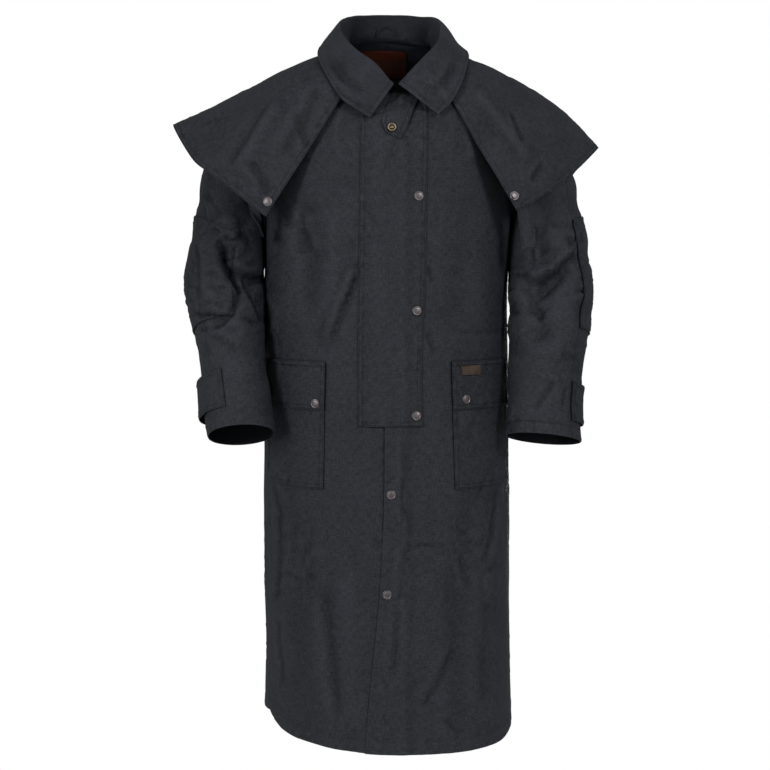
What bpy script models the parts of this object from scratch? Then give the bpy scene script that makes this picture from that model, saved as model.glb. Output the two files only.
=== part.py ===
"""A caped duster coat of waxed cotton, worn and filled out, with no wearer.

Metres, +Z up. The coat faces -Y and the wearer's left is +X. The origin is between the two
points where the shoulder seams meet the neck. Every cloth piece is a closed wall: a grid of
points on its outer face, the same points moved in by the cloth's thickness, and four rims.
"""

import math

import bmesh
import bpy
import numpy as np

# Thicknesses and gaps
CLOTH = 0.0020
TRIM = 0.0016
LEATHER = 0.0018
SEAM_GAP = 0.0003
LAY_GAP = 0.0008
LAP = CLOTH + LAY_GAP

# Heights along the coat. Above the shoulder tip a level counts along the shoulder seam.
HEM = -1.280
POCKET_BOTTOM = -0.797
STORM_BOTTOM = -0.681
POCKET_FLAP_BOTTOM = -0.653
POCKET_TOP = -0.565
ARMPIT = -0.250
ARMPIT_ROUNDS = -0.240
SHOULDER_TIP = -0.050
STORM_TOP = 0.075
NECK = 0.095
LEVEL_STEPS = (
    (HEM, POCKET_BOTTOM, 9),
    (POCKET_BOTTOM, STORM_BOTTOM, 2),
    (STORM_BOTTOM, POCKET_FLAP_BOTTOM, 1),
    (POCKET_FLAP_BOTTOM, POCKET_TOP, 2),
    (POCKET_TOP, ARMPIT, 6),
    (ARMPIT, ARMPIT_ROUNDS, 1),
    (ARMPIT_ROUNDS, SHOULDER_TIP, 6),
    (SHOULDER_TIP, STORM_TOP, 4),
    (STORM_TOP, NECK, 1),
)

# Body of the coat. Columns: level, height of the side, half width, depth in front of and behind
# the centre, centre Y, how far the middle of the front and of the back lie below the side, and
# how far the front leans to the wearer's left for each metre of depth.
BODY = (
    (-1.280, -1.280, 0.2370, 0.250, 0.130, 0.050, 0.000, 0.000, 0.18),
    (-1.000, -1.000, 0.2365, 0.236, 0.136, 0.045, 0.000, 0.000, 0.10),
    (-0.730, -0.730, 0.2355, 0.215, 0.142, 0.036, 0.000, 0.000, 0.03),
    (-0.550, -0.550, 0.2280, 0.196, 0.142, 0.030, 0.000, 0.000, 0.00),
    (-0.400, -0.400, 0.2260, 0.182, 0.142, 0.025, 0.000, 0.000, 0.00),
    (-0.250, -0.250, 0.2280, 0.172, 0.140, 0.020, 0.000, 0.000, 0.03),
    (-0.150, -0.150, 0.2240, 0.164, 0.132, 0.018, 0.035, -0.005, 0.06),
    (-0.050, -0.050, 0.2130, 0.148, 0.118, 0.015, 0.085, -0.020, 0.10),
    (0.020, -0.018, 0.1520, 0.128, 0.100, 0.012, 0.093, -0.018, 0.14),
    (0.095, 0.018, 0.0820, 0.105, 0.078, 0.010, 0.100, -0.017, 0.18),
)
ROUNDNESS = 2.2
# Below these levels the whole body sits this far to the wearer's right.
BODY_SHIFT = -0.004
SHIFT_LEVELS = (-0.500, -0.280)

# Front edges and seams
SIDE_SEAM = math.radians(78)
SIDE_SEAM_TURNS = -0.450
SHOULDER_SEAM = math.radians(90)
ARMHOLE_REACH = math.radians(34)
ARMHOLE_ROUNDNESS = 0.5
UNDERLAP_X = 0.024
LAP_SLOPE = 0.0175
STORM_EDGE_X = 0.066
STORM_SEAM_X = -0.050
# Where the left front's edge runs. Columns: level, X.
OVERLAP_EDGE = (
    (-1.280, -0.041),
    (-1.120, -0.024),
    (-0.950, -0.016),
    (-0.830, -0.007),
    (0.095, -0.006),
)
POCKET_SHARE = {"left": 0.237, "right": 0.273}
VENT_TOP = POCKET_BOTTOM
VENT_SLANT = 0.053
VENT_LAP = math.radians(11)

# Largest folds of the front and of the back, each a soft ridge or trough along a line.
# Columns: X and Z of its top, X and Z of its bottom, half width, height.
FRONT_FOLDS = (
    (-0.052, -0.385, -0.115, -0.540, 0.020, -0.0050),
    (-0.098, -0.300, -0.100, -0.520, 0.022, 0.0050),
    (-0.150, -0.280, -0.145, -0.470, 0.022, -0.0070),
    (0.140, -0.260, 0.125, -0.500, 0.026, -0.0050),
    (0.168, -0.840, 0.182, -1.100, 0.022, 0.0060),
    (0.118, -0.950, 0.135, -1.260, 0.028, -0.0060),
    (-0.080, -0.960, -0.066, -1.220, 0.028, 0.0060),
    (-0.160, -0.860, -0.165, -1.240, 0.030, -0.0060),
    (-0.206, -0.740, -0.200, -1.100, 0.018, 0.0040),
)
BACK_FOLDS = (
    (0.070, -0.480, 0.105, -1.280, 0.032, 0.0080),
    (0.150, -0.620, 0.185, -1.280, 0.028, -0.0070),
    (-0.060, -0.520, -0.095, -1.280, 0.032, 0.0080),
    (-0.140, -0.600, -0.180, -1.280, 0.028, -0.0070),
    (0.110, -0.260, 0.080, -0.450, 0.026, -0.0050),
    (-0.110, -0.260, -0.085, -0.450, 0.026, -0.0050),
)

# Sleeves, from the armhole to the cuff. Columns: distance from the middle and height of the
# inner side, the same of the outer side, centre Y, half depth, forward tilt in degrees.
SLEEVES = {
    "right": (
        (0.2265, -0.250, 0.215, -0.050, 0.020, 0.095, 0.0),
        (0.2360, -0.264, 0.285, -0.084, 0.020, 0.092, 0.0),
        (0.2370, -0.290, 0.325, -0.130, 0.020, 0.089, 0.0),
        (0.2365, -0.328, 0.351, -0.222, 0.016, 0.086, 3.0),
        (0.2360, -0.375, 0.366, -0.330, 0.004, 0.084, 8.0),
        (0.2360, -0.430, 0.379, -0.425, -0.016, 0.082, 16.0),
        (0.2330, -0.490, 0.366, -0.500, -0.044, 0.078, 22.0),
        (0.2290, -0.560, 0.350, -0.575, -0.076, 0.073, 24.0),
        (0.2160, -0.630, 0.341, -0.640, -0.106, 0.068, 24.0),
        (0.2070, -0.695, 0.331, -0.705, -0.135, 0.064, 24.0),
    ),
    "left": (
        (0.2265, -0.250, 0.215, -0.050, 0.020, 0.095, 0.0),
        (0.2360, -0.264, 0.285, -0.086, 0.020, 0.092, 0.0),
        (0.2380, -0.290, 0.325, -0.132, 0.020, 0.089, 0.0),
        (0.2400, -0.328, 0.350, -0.226, 0.014, 0.086, 2.0),
        (0.2410, -0.375, 0.368, -0.330, -0.004, 0.084, 6.0),
        (0.2400, -0.430, 0.382, -0.425, -0.026, 0.082, 11.0),
        (0.2380, -0.500, 0.376, -0.505, -0.047, 0.078, 14.0),
        (0.2320, -0.570, 0.364, -0.580, -0.068, 0.074, 15.0),
        (0.2220, -0.640, 0.356, -0.655, -0.087, 0.070, 15.0),
        (0.2160, -0.704, 0.357, -0.718, -0.105, 0.068, 15.0),
    ),
}
SLEEVE_STEPS = 18
CAP_BLEND = 0.09
SLEEVE_SEAM_COLUMN = 1
# Creases at the elbows, on the front of each sleeve. Columns as for the body, X as a distance.
SLEEVE_FOLDS = {
    "right": (
        (0.331, -0.325, 0.272, -0.435, 0.014, -0.0070),
        (0.352, -0.350, 0.330, -0.450, 0.018, 0.0050),
        (0.305, -0.365, 0.245, -0.395, 0.013, -0.0060),
        (0.262, -0.420, 0.232, -0.500, 0.018, -0.0080),
        (0.352, -0.480, 0.275, -0.505, 0.014, -0.0060),
    ),
    "left": (
        (0.325, -0.370, 0.256, -0.437, 0.014, -0.0060),
        (0.290, -0.410, 0.275, -0.530, 0.020, -0.0090),
        (0.345, -0.430, 0.320, -0.540, 0.020, 0.0040),
    ),
}

# Cape. Each rib runs from the neck to the hem. Columns: angle at the neck in degrees,
# X, Y, Z of the hem, X, Y, Z of how far the rib's middle bows from a straight line.
CAPE = (
    (-38, -0.222, -0.140, -0.293, 0.000, -0.018, 0.004),
    (-58, -0.322, -0.108, -0.226, -0.004, -0.026, 0.016),
    (-76, -0.368, -0.052, -0.188, 0.000, -0.010, 0.020),
    (-92, -0.406, 0.030, -0.128, 0.000, 0.000, 0.002),
    (-120, -0.366, 0.140, -0.225, -0.004, 0.016, 0.030),
    (-150, -0.245, 0.192, -0.350, -0.004, 0.034, 0.030),
    (-180, 0.000, 0.205, -0.395, 0.000, 0.036, 0.026),
    (-210, 0.245, 0.192, -0.355, 0.004, 0.034, 0.030),
    (-240, 0.366, 0.140, -0.250, 0.008, 0.016, 0.034),
    (-268, 0.400, 0.030, -0.171, 0.016, 0.000, 0.020),
    (-284, 0.343, -0.060, -0.222, 0.012, -0.012, 0.034),
    (-302, 0.292, -0.110, -0.254, 0.004, -0.024, 0.022),
    (-322, 0.238, -0.140, -0.285, 0.000, -0.018, 0.004),
)
CAPE_RIB_STEPS = 2
CAPE_DEPTH_STEPS = 8
CAPE_NECK_LEVEL = 0.080
CAPE_NECK_GAP = 0.0006
CAPE_NECK_REST = 0.0004
CAPE_REST = 0.0060
COLLAR_REST = 0.0035

# Collar. Each rib runs from the neck seam up the stand, over the roll and down the fall.
# Columns: angle at the neck in degrees, X, Y, Z of the roll, X, Y, Z of the outer edge.
COLLAR = (
    (-5.5, 0.011, -0.121, -0.064, -0.033, -0.141, -0.126),
    (-24, -0.029, -0.108, -0.023, -0.070, -0.140, -0.103),
    (-50, -0.076, -0.062, 0.020, -0.092, -0.122, -0.080),
    (-80, -0.088, 0.000, 0.060, -0.124, -0.050, -0.016),
    (-115, -0.072, 0.048, 0.076, -0.124, 0.050, 0.018),
    (-150, -0.040, 0.080, 0.084, -0.073, 0.116, 0.010),
    (-180, 0.000, 0.090, 0.086, 0.000, 0.133, 0.002),
    (-210, 0.044, 0.080, 0.084, 0.077, 0.116, 0.010),
    (-245, 0.080, 0.048, 0.076, 0.132, 0.050, 0.014),
    (-280, 0.098, 0.000, 0.060, 0.142, -0.044, -0.016),
    (-310, 0.090, -0.062, 0.020, 0.124, -0.118, -0.078),
    (-336, 0.055, -0.108, -0.025, 0.109, -0.136, -0.103),
    (-358, 0.018, -0.123, -0.064, 0.090, -0.142, -0.120),
)
STAND_STEPS = 4
FALL_STEPS = 6
ROLL_RADIUS = 0.010
COLLAR_GAP = 0.0005

# Round fasteners
SNAP_RADIUS = 0.0085
SNAP_HEIGHT = 0.0030
BUTTON_RADIUS = 0.0080
BUTTON_HEIGHT = 0.0042
FASTENER_GAP = 0.0005
STORM_SNAPS = ((0.0553, -0.266), (0.0520, -0.472), (0.0510, -0.661))
FRONT_SNAPS = ((0.0058, -0.803), (-0.0015, -0.985))
POCKET_SNAPS = {"left": (0.141, -0.634), "right": (-0.130, -0.641)}
CAPE_SNAP_SHARES = {"left": (11.86, 0.915), "right": (0.14, 0.915)}

# Small pieces
# Throat tab. Columns: X and Z of its middle, half width, from the top to the blunt point.
TAB = (
    (0.032, -0.087, 0.0240),
    (0.022, -0.110, 0.0240),
    (0.009, -0.142, 0.0240),
    (0.010, -0.161, 0.0137),
)
TAB_STEPS = 9
TAB_LEAN = math.radians(20)
TAB_BUTTON = (0.007, -0.1465)
LABEL_HALF_WIDTH = 0.043
LABEL_TOP = 0.058
BADGE_X = (0.131, 0.166)
BADGE_Z = (-0.590, -0.573)
# Hanger loop, an arch on the inside of the stand, in the collar's own ribs and shares.
LOOP_RIBS = (5.43, 6.27)
LOOP_SHARES = (0.20, 0.52)
LOOP_HALF_WIDTH = 0.0025
LOOP_GAP = 0.0013
STAND_HEIGHT = 0.052
# Keeper straps. They leave the cape's underside at this rib and hang to their end.
STRAP_HALF_WIDTH = 0.0135
STRAPS = {
    "left": {"rib": 11.76, "end": (0.277, -0.116, -0.362), "across": (0.97, 0.10, 0.20)},
    "right": {"rib": 0.24, "end": (-0.230, -0.098, -0.338), "across": (-0.30, 0.92, 0.10)},
}

# Colours (linear), roughness, metallic
WAXED_COTTON = ((0.029, 0.030, 0.035), 0.72, 0.0)
BROWN_LEATHER = ((0.022, 0.006, 0.003), 0.55, 0.0)
TAN_LEATHER = ((0.09, 0.062, 0.052), 0.60, 0.0)
COPPER_SNAP = ((0.34, 0.24, 0.19), 0.35, 1.0)
HORN_BUTTON = ((0.26, 0.20, 0.13), 0.40, 0.6)

# Heights of the faces that other pieces lie on, above the body's outer face
STORM_LIFT = TRIM + LAY_GAP
TAB_LIFT = LAP + STORM_LIFT + TRIM + LAY_GAP
POCKET_LIFT = TRIM + LAY_GAP
POCKET_FLAP_LIFT = 2 * POCKET_LIFT

TINY = 1e-4


def ease(value, low, high):
    """A smooth step from 0 at low to 1 at high."""
    share = np.clip((value - low) / (high - low), 0.0, 1.0)
    return share * share * (3.0 - 2.0 * share)


def read_table(rows, at):
    """Every column of a table at the given values of its first one, along smooth curves."""
    table = np.array(rows, float)
    knots = table[:, 0]
    columns = table[:, 1:]
    slopes = np.gradient(columns, knots, axis=0)
    at = np.asarray(at, float)
    low = np.clip(np.searchsorted(knots, at) - 1, 0, len(knots) - 2)
    span = (knots[low + 1] - knots[low])[..., None]
    share = (at - knots[low])[..., None] / span
    start = (1 + 2 * share) * (1 - share) ** 2
    rise = share * (1 - share) ** 2 * span
    end = share**2 * (3 - 2 * share)
    fall = share**2 * (share - 1) * span
    found = start * columns[low] + rise * slopes[low] + end * columns[low + 1] + fall * slopes[low + 1]
    return [found[..., column] for column in range(columns.shape[1])]


def numbered(rows):
    """A table's rows with their numbers as a first column."""
    return [(number, *row) for number, row in enumerate(rows)]


def fold_height(across, up, rows):
    """The folds' height at (across, up): a bell across each fold's line, faded out past its ends."""
    height = np.zeros_like(across)
    for top_x, top_z, low_x, low_z, width, depth in rows:
        run = low_x - top_x
        drop = low_z - top_z
        length = math.hypot(run, drop)
        along = ((across - top_x) * run + (up - top_z) * drop) / length**2
        aside = ((across - top_x) * drop - (up - top_z) * run) / length
        ends = ease(along, -0.15, 0.15) * (1.0 - ease(along, 0.85, 1.15))
        height += depth * ends * np.exp(-((aside / width) ** 2))
    return height


def unit(vectors):
    return vectors / np.linalg.norm(vectors, axis=-1, keepdims=True)


def normals(surface, first, second, facing=1.0):
    """Unit normals of surface(first, second), from the differences on each side of a point."""
    along_first = surface(first + TINY, second) - surface(first - TINY, second)
    along_second = surface(first, second + TINY) - surface(first, second - TINY)
    return facing * unit(np.cross(along_first, along_second))


def body_shift(level):
    return BODY_SHIFT * (1 - ease(level, *SHIFT_LEVELS))


def smooth_body(angle, level):
    """The body without folds: a rounded oval at each level, its angle measured from the front."""
    side_z, half, front, back, centre_y, front_drop, back_drop, lean = read_table(BODY, level)
    sideways = np.sin(angle)
    forward = np.cos(angle)
    depth = np.where(forward > 0, front, back)
    drop = np.where(forward > 0, front_drop, back_drop)
    radius = (np.abs(sideways / half) ** ROUNDNESS + np.abs(forward / depth) ** ROUNDNESS) ** (
        -1 / ROUNDNESS
    )
    ahead = radius * forward
    x = radius * sideways + lean * np.maximum(ahead, 0.0) + body_shift(level)
    return np.stack([x, centre_y - ahead, side_z - drop * forward**2], axis=-1)


def body(angle, level):
    """The body's outer face, with its folds."""
    angle, level = np.broadcast_arrays(np.asarray(angle, float), np.asarray(level, float))
    points = smooth_body(angle, level)
    out = normals(smooth_body, angle, level)
    front = fold_height(points[..., 0], points[..., 2], FRONT_FOLDS)
    back = fold_height(points[..., 0], points[..., 2], BACK_FOLDS)
    share = ease(np.cos(angle), -0.15, 0.15)
    return points + out * (front * share + back * (1 - share))[..., None]


def body_normals(angle, level):
    return normals(body, np.asarray(angle, float), np.asarray(level, float))


def front_angle(x, level):
    """The angle at which the front of the body has this X, its lean and shift taken off first."""
    _, half, depth, _, _, _, _, lean = read_table(BODY, level)
    x = x - body_shift(level)
    straight = x + 0.0 * half
    for _ in range(6):
        share = np.clip(np.abs(straight / half), 0.0, 0.999)
        ahead = depth * (1 - share**ROUNDNESS) ** (1 / ROUNDNESS)
        straight = x - lean * ahead
    return np.arctan2(straight, ahead)


def level_lines(low=HEM, high=NECK):
    """The levels that every piece of the body shares, from low to high."""
    lines = [start + (end - start) * step / count
             for start, end, count in LEVEL_STEPS for step in range(count)]
    lines = np.array(lines + [NECK])
    return lines[(lines > low - TINY) & (lines < high + TINY)]


def armhole_share(level):
    return np.clip((level - ARMPIT) / (SHOULDER_TIP - ARMPIT), 0.0, 1.0)


def side_angle(level, direction):
    """The side seam, one edge of the armhole (direction -1 in front, +1 behind), then the shoulder."""
    share = armhole_share(level)
    seam = SIDE_SEAM + (SHOULDER_SEAM - SIDE_SEAM) * ease(level, SIDE_SEAM_TURNS, ARMPIT)
    return seam + direction * ARMHOLE_REACH * np.sin(math.pi * share) ** ARMHOLE_ROUNDNESS


def seam_turn(level):
    """Half a seam's gap, as an angle round the body at this level."""
    return 0.5 * SEAM_GAP / read_table(BODY, level)[1]


def spread(start, end, count):
    """Count + 1 lines of angles from one edge to another, one row for each level."""
    share = np.linspace(0, 1, count + 1)
    return start[:, None] * (1 - share) + end[:, None] * share


def joined(*parts):
    """Blocks of columns side by side, each without the last block's repeated line."""
    return np.concatenate([parts[0]] + [part[:, 1:] for part in parts[1:]], axis=1)


def front_columns(side, levels):
    """Angles of one front's columns, from its edge to the side seam, and the pocket's column."""
    sign = 1 if side == "left" else -1
    if side == "left":
        edge = front_angle(read_table(OVERLAP_EDGE, levels)[0], levels)
        first = front_angle(0.010, levels)
        centre = joined(
            spread(edge, first, 2),
            spread(first, front_angle(UNDERLAP_X, levels), 1),
            spread(front_angle(UNDERLAP_X, levels), front_angle(STORM_EDGE_X, levels), 2),
        )
    else:
        centre = joined(
            spread(front_angle(UNDERLAP_X, levels), front_angle(-0.006, levels), 2),
            spread(front_angle(-0.006, levels), front_angle(STORM_SEAM_X, levels), 2),
        )
    last = centre[:, -1]
    seam = sign * (side_angle(levels, -1) - seam_turn(levels))
    pocket = last + (seam - last) * POCKET_SHARE[side]
    columns = joined(centre, spread(last, pocket, 2), spread(pocket, seam, 6))
    return columns, centre.shape[1] + 1


def lap_height(angle, level):
    """How far the left front stands out where it lies over the right front."""
    x = smooth_body(angle, level)[..., 0]
    return LAP * (1 - ease(x, UNDERLAP_X, UNDERLAP_X + LAP_SLOPE))


def clear_scene():
    for old in list(bpy.data.objects):
        bpy.data.objects.remove(old, do_unlink=True)


def finish(name, vertices, faces, look):
    """An object of its own with its own material, its faces shaded smooth up to a fold."""
    mesh = bpy.data.meshes.new(name)
    mesh.from_pydata([tuple(vertex) for vertex in vertices], [], faces)
    shell = bmesh.new()
    shell.from_mesh(mesh)
    bmesh.ops.recalc_face_normals(shell, faces=shell.faces)
    shell.to_mesh(mesh)
    shell.free()
    colour, roughness, metallic = look
    material = bpy.data.materials.new(name)
    material.use_nodes = True
    shader = material.node_tree.nodes["Principled BSDF"]
    shader.inputs["Base Color"].default_value = (*colour, 1.0)
    shader.inputs["Roughness"].default_value = roughness
    shader.inputs["Metallic"].default_value = metallic
    mesh.materials.append(material)
    mesh.shade_smooth()
    mesh.set_sharp_from_angle(angle=math.radians(40))
    made = bpy.data.objects.new(name, mesh)
    bpy.context.scene.collection.objects.link(made)
    return made


def wall(name, points, out, lift=0.0, thick=CLOTH, look=WAXED_COTTON):
    """A closed wall on a grid: the outer face lifted along its normals, the inner face below it.
    Both faces split each four-sided cell along the diagonal that stands further out, so that
    the wall keeps its thickness and a piece laid on another one has the same facets."""
    rows, columns = points.shape[:2]
    outer = points + out * (np.asarray(lift)[..., None] if np.ndim(lift) else lift)
    inner = outer - out * thick
    vertices = np.concatenate([outer.reshape(-1, 3), inner.reshape(-1, 3)])
    below = rows * columns

    def at(row, column):
        return row * columns + column

    falling = points[:-1, :-1] + points[1:, 1:]
    rising = points[:-1, 1:] + points[1:, :-1]
    outermost = np.sum((falling - rising) * out[:-1, :-1], axis=-1) > 0
    faces = []
    for row in range(rows - 1):
        for column in range(columns - 1):
            corners = (at(row, column), at(row, column + 1), at(row + 1, column + 1), at(row + 1, column))
            start = 0 if outermost[row, column] else 1
            turned = corners[start:] + corners[:start]
            for face in ((turned[0], turned[1], turned[2]), (turned[0], turned[2], turned[3])):
                faces.append(face)
                faces.append(tuple(below + corner for corner in reversed(face)))
    rim = [at(0, column) for column in range(columns)]
    rim += [at(row, columns - 1) for row in range(1, rows)]
    rim += [at(rows - 1, column) for column in range(columns - 2, -1, -1)]
    rim += [at(row, 0) for row in range(rows - 2, 0, -1)]
    for here, there in zip(rim, rim[1:] + rim[:1]):
        faces.append((there, here, below + here, below + there))
    return finish(name, vertices, faces, look)


def body_wall(name, angles, levels, lift=0.0, thick=CLOTH, look=WAXED_COTTON):
    level = np.broadcast_to(levels[:, None], angles.shape)
    return wall(name, body(angles, level), body_normals(angles, level), lift, thick, look)


def front_panel(side):
    levels = level_lines()
    angles, _ = front_columns(side, levels)
    level = np.broadcast_to(levels[:, None], angles.shape)
    lift = lap_height(angles, level) if side == "left" else 0.0 * angles
    body_wall("front_" + side, angles, levels, lift)


def back_columns(side, levels):
    """Angles of one back's columns. The left one's edge runs on over the right in the vent."""
    sign = 1 if side == "left" else -1
    seam = sign * (side_angle(levels, 1) + seam_turn(levels))
    middle = sign * (math.pi - seam_turn(levels))
    vent = 1 - ease(levels, VENT_TOP - VENT_SLANT, VENT_TOP)
    edge = middle + vent * VENT_LAP if side == "left" else middle
    last = middle - sign * VENT_LAP
    return joined(spread(seam, last, 8), spread(last, edge, 2))


def back_panel(side):
    """A back: the left one stands out where it laps over the right."""
    levels = level_lines()
    angles = back_columns(side, levels)
    raised = 1 - ease(levels, VENT_TOP, VENT_TOP + VENT_SLANT)
    reach = ease(angles, math.pi - VENT_LAP - 0.10, math.pi - 0.07)
    lift = LAP * reach * raised[:, None] if side == "left" else 0.0 * angles
    body_wall("back_" + side, angles, levels, lift)


def storm_flap():
    """Sewn to the right front near its edge and laid over the left front's edge."""
    levels = level_lines(STORM_BOTTOM, STORM_TOP)
    right, _ = front_columns("right", levels)
    left, _ = front_columns("left", levels)
    angles = joined(right[:, 4:1:-1], left[:, 0:6])
    level = np.broadcast_to(levels[:, None], angles.shape)
    beyond_edge = ease(smooth_body(angles, level)[..., 0], STORM_SEAM_X, -0.006)
    lift = beyond_edge * lap_height(angles, level) + STORM_LIFT
    body_wall("storm_flap", angles, levels, lift, TRIM)


def pocket(side):
    levels = level_lines(POCKET_BOTTOM, POCKET_TOP)
    angles, column = front_columns(side, levels)
    body_wall("pocket_" + side, angles[:, column:-1], levels, POCKET_LIFT, TRIM)
    levels = level_lines(POCKET_FLAP_BOTTOM, POCKET_TOP)
    angles, column = front_columns(side, levels)
    body_wall("pocket_flap_" + side, angles[:, column:-1], levels, POCKET_FLAP_LIFT, TRIM)


def armhole(turn, side):
    """The armhole's edge as the sleeve meets it: turn 0 at the top, pi / 2 in front."""
    share = (1 + np.cos(turn)) / 2
    level = ARMPIT + (SHOULDER_TIP - ARMPIT) * share
    direction = np.where(np.sin(turn) >= 0, -1, 1)
    inset = 4 * seam_turn(level) * np.abs(np.sin(turn))
    angle = side_angle(level, direction) - direction * inset
    level = level - 2 * SEAM_GAP * np.cos(turn)
    return body((1 if side == "left" else -1) * angle, level)


def smooth_sleeve(turn, share, side):
    """The sleeve without creases: ovals along the arm that start as the armhole's own edge."""
    sign = 1 if side == "left" else -1
    rows = SLEEVES[side]
    found = read_table(numbered(rows), share * (len(rows) - 1))
    inner_x, inner_z, outer_x, outer_z, centre_y, depth, tilt = found
    tilt = np.radians(tilt)
    across = np.cos(turn)
    ahead = np.sin(turn)
    x = (inner_x + outer_x) / 2 + (outer_x - inner_x) / 2 * across
    z = (inner_z + outer_z) / 2 + (outer_z - inner_z) / 2 * across + depth * np.sin(tilt) * ahead
    y = centre_y - depth * np.cos(tilt) * ahead
    oval = np.stack([sign * x, y, z], axis=-1)
    blend = ease(share, 0.0, CAP_BLEND)[..., None]
    return armhole(turn, side) * (1 - blend) + oval * blend


def sleeve(turn, share, side):
    """The sleeve's outer face, with the creases at its elbow."""
    turn, share = np.broadcast_arrays(np.asarray(turn, float), np.asarray(share, float))
    points = smooth_sleeve(turn, share, side)
    out = sleeve_normals(turn, share, side, smooth_sleeve)
    height = fold_height(np.abs(points[..., 0]), points[..., 2], SLEEVE_FOLDS[side])
    height = height * ease(np.sin(turn), -0.1, 0.3)
    return points + out * height[..., None]


def sleeve_normals(turn, share, side, surface=sleeve):
    """Normals that point away from the arm. At the armhole they are those just outside it."""
    share = np.clip(share, 0.5 * CAP_BLEND, 1 - TINY)
    facing = 1.0 if side == "left" else -1.0
    return normals(lambda first, second: surface(first, second, side), turn, share, facing)


def sleeve_turns():
    """Turns of the sleeve's columns, round from the top through the front, one for each level
    line of the armhole, so that the sleeve's edge and the armhole's have the same corners."""
    levels = level_lines(ARMPIT, SHOULDER_TIP)[::-1]
    front = np.arccos(2 * armhole_share(levels) - 1)
    return np.concatenate([front, 2 * math.pi - front[-2::-1]])


def sleeve_wall(name, side, turns, shares, lift=0.0, thick=CLOTH):
    turn, share = np.meshgrid(turns, shares)
    wall(name, sleeve(turn, share, side), sleeve_normals(turn, share, side), lift, thick)


def sleeve_shares():
    return np.linspace(0, 1, SLEEVE_STEPS + 1)


def sleeve_pieces(side):
    """Two lengthwise pieces, seamed at the front of the outer side and along the inner side."""
    turns = sleeve_turns()
    half = len(turns) // 2
    gap = SEAM_GAP / 0.07
    front = turns[SLEEVE_SEAM_COLUMN:half + 1].copy()
    front[0] += gap
    front[-1] -= gap
    back = np.concatenate([turns[half:-1] - 2 * math.pi, turns[:SLEEVE_SEAM_COLUMN + 1]])
    back[0] += gap
    back[-1] -= gap
    sleeve_wall("sleeve_front_" + side, side, front, sleeve_shares())
    sleeve_wall("sleeve_back_" + side, side, back, sleeve_shares())


def sleeve_trim(side):
    """The elbow patch, sewn flat, and the cuff's tab, which stands off the sleeve behind."""
    turns = sleeve_turns()
    around = np.concatenate([turns[8:-1] - 2 * math.pi, turns[:8]])
    middle = 6
    shares = sleeve_shares()
    columns = (middle - 1, middle + 5) if side == "right" else (middle - 4, middle + 2)
    patch = around[columns[0]:columns[1]]
    sleeve_wall("elbow_patch_" + side, side, patch, shares[6:13], TRIM + LAY_GAP, TRIM)
    tab = around[middle - 2:middle + 4]
    rows = shares[15:18]
    stand_off = 0.009 if side == "right" else 0.004
    lift = TRIM + LAY_GAP + stand_off * np.exp(-(((tab + 0.2) / 0.55) ** 2))
    lift = np.broadcast_to(lift, (len(rows), len(tab)))
    sleeve_wall("cuff_tab_" + side, side, tab, rows, lift, TRIM)


def resting(points, support, out, gap):
    """Points nearer than the gap to a support, or under it, moved out along its normals."""
    flat = points.reshape(-1, 3)
    gaps = np.broadcast_to(gap, points.shape[:-1]).reshape(-1)
    support = support.reshape(-1, 3)
    out = out.reshape(-1, 3)
    moved = []
    for some in np.array_split(np.arange(len(flat)), len(flat) // 200 + 1):
        apart = np.sum((flat[some, None] - support[None]) ** 2, axis=-1)
        nearest = np.argmin(apart, axis=1)
        height = np.sum((flat[some] - support[nearest]) * out[nearest], axis=-1)
        short = np.maximum(gaps[some] - height, 0.0)
        moved.append(flat[some] + out[nearest] * short[:, None])
    return np.concatenate(moved).reshape(points.shape)


def cape(rib, share):
    """The cape's outer face: rib counts the table's rows, share runs from neck to hem."""
    angle, hem_x, hem_y, hem_z, bow_x, bow_y, bow_z = read_table(numbered(CAPE), rib)
    angle = np.radians(angle)
    level = CAPE_NECK_LEVEL + 0.0 * angle
    lift = (CLOTH + CAPE_NECK_GAP) * body_normals(angle, level)
    neck = body(angle, level) + lift
    hem = np.stack([hem_x, hem_y, hem_z], axis=-1)
    bow = np.stack([bow_x, bow_y, bow_z], axis=-1)
    share = np.asarray(share, float)[..., None]
    return neck * (1 - share) + hem * share + bow * 4 * share * (1 - share)


def cape_normals(rib, share):
    share = np.clip(share, TINY, 1 - TINY)
    rib = np.clip(rib, TINY, len(CAPE) - 1 - TINY)
    return normals(cape, rib, share)


def shoulders():
    """Points and normals of the body's upper part and of both sleeves' heads."""
    angle, level = np.meshgrid(np.linspace(-math.pi, math.pi, 145), np.linspace(-0.32, NECK, 60))
    points = [body(angle, level).reshape(-1, 3)]
    out = [body_normals(angle, level).reshape(-1, 3)]
    turn, share = np.meshgrid(np.linspace(0, 2 * math.pi, 49), np.linspace(0.04, 0.5, 25))
    for side in ("left", "right"):
        points.append(sleeve(turn, share, side).reshape(-1, 3))
        out.append(sleeve_normals(turn, share, side).reshape(-1, 3))
    return np.concatenate(points), np.concatenate(out)


def resting_cape(rib, share):
    """The cape, near the body at its neck edge and a little clear of the shoulders below."""
    gap = CLOTH + CAPE_NECK_REST + (CAPE_REST - CAPE_NECK_REST) * ease(share, 0.0, 0.15)
    return resting(cape(rib, share), *shoulders(), gap)


def cape_piece():
    ribs = np.linspace(0, len(CAPE) - 1, CAPE_RIB_STEPS * (len(CAPE) - 1) + 1)
    shares = np.linspace(0, 1, CAPE_DEPTH_STEPS + 1)
    rib, share = np.meshgrid(ribs, shares)
    wall("cape", resting_cape(rib, share), cape_normals(rib, share))


def cape_top():
    """Points and normals of the cape near the neck, where the collar's fall lies on it."""
    rib, share = np.meshgrid(np.linspace(0, len(CAPE) - 1, 145), np.linspace(0, 0.6, 30))
    return resting_cape(rib, share), cape_normals(rib, share)


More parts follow.
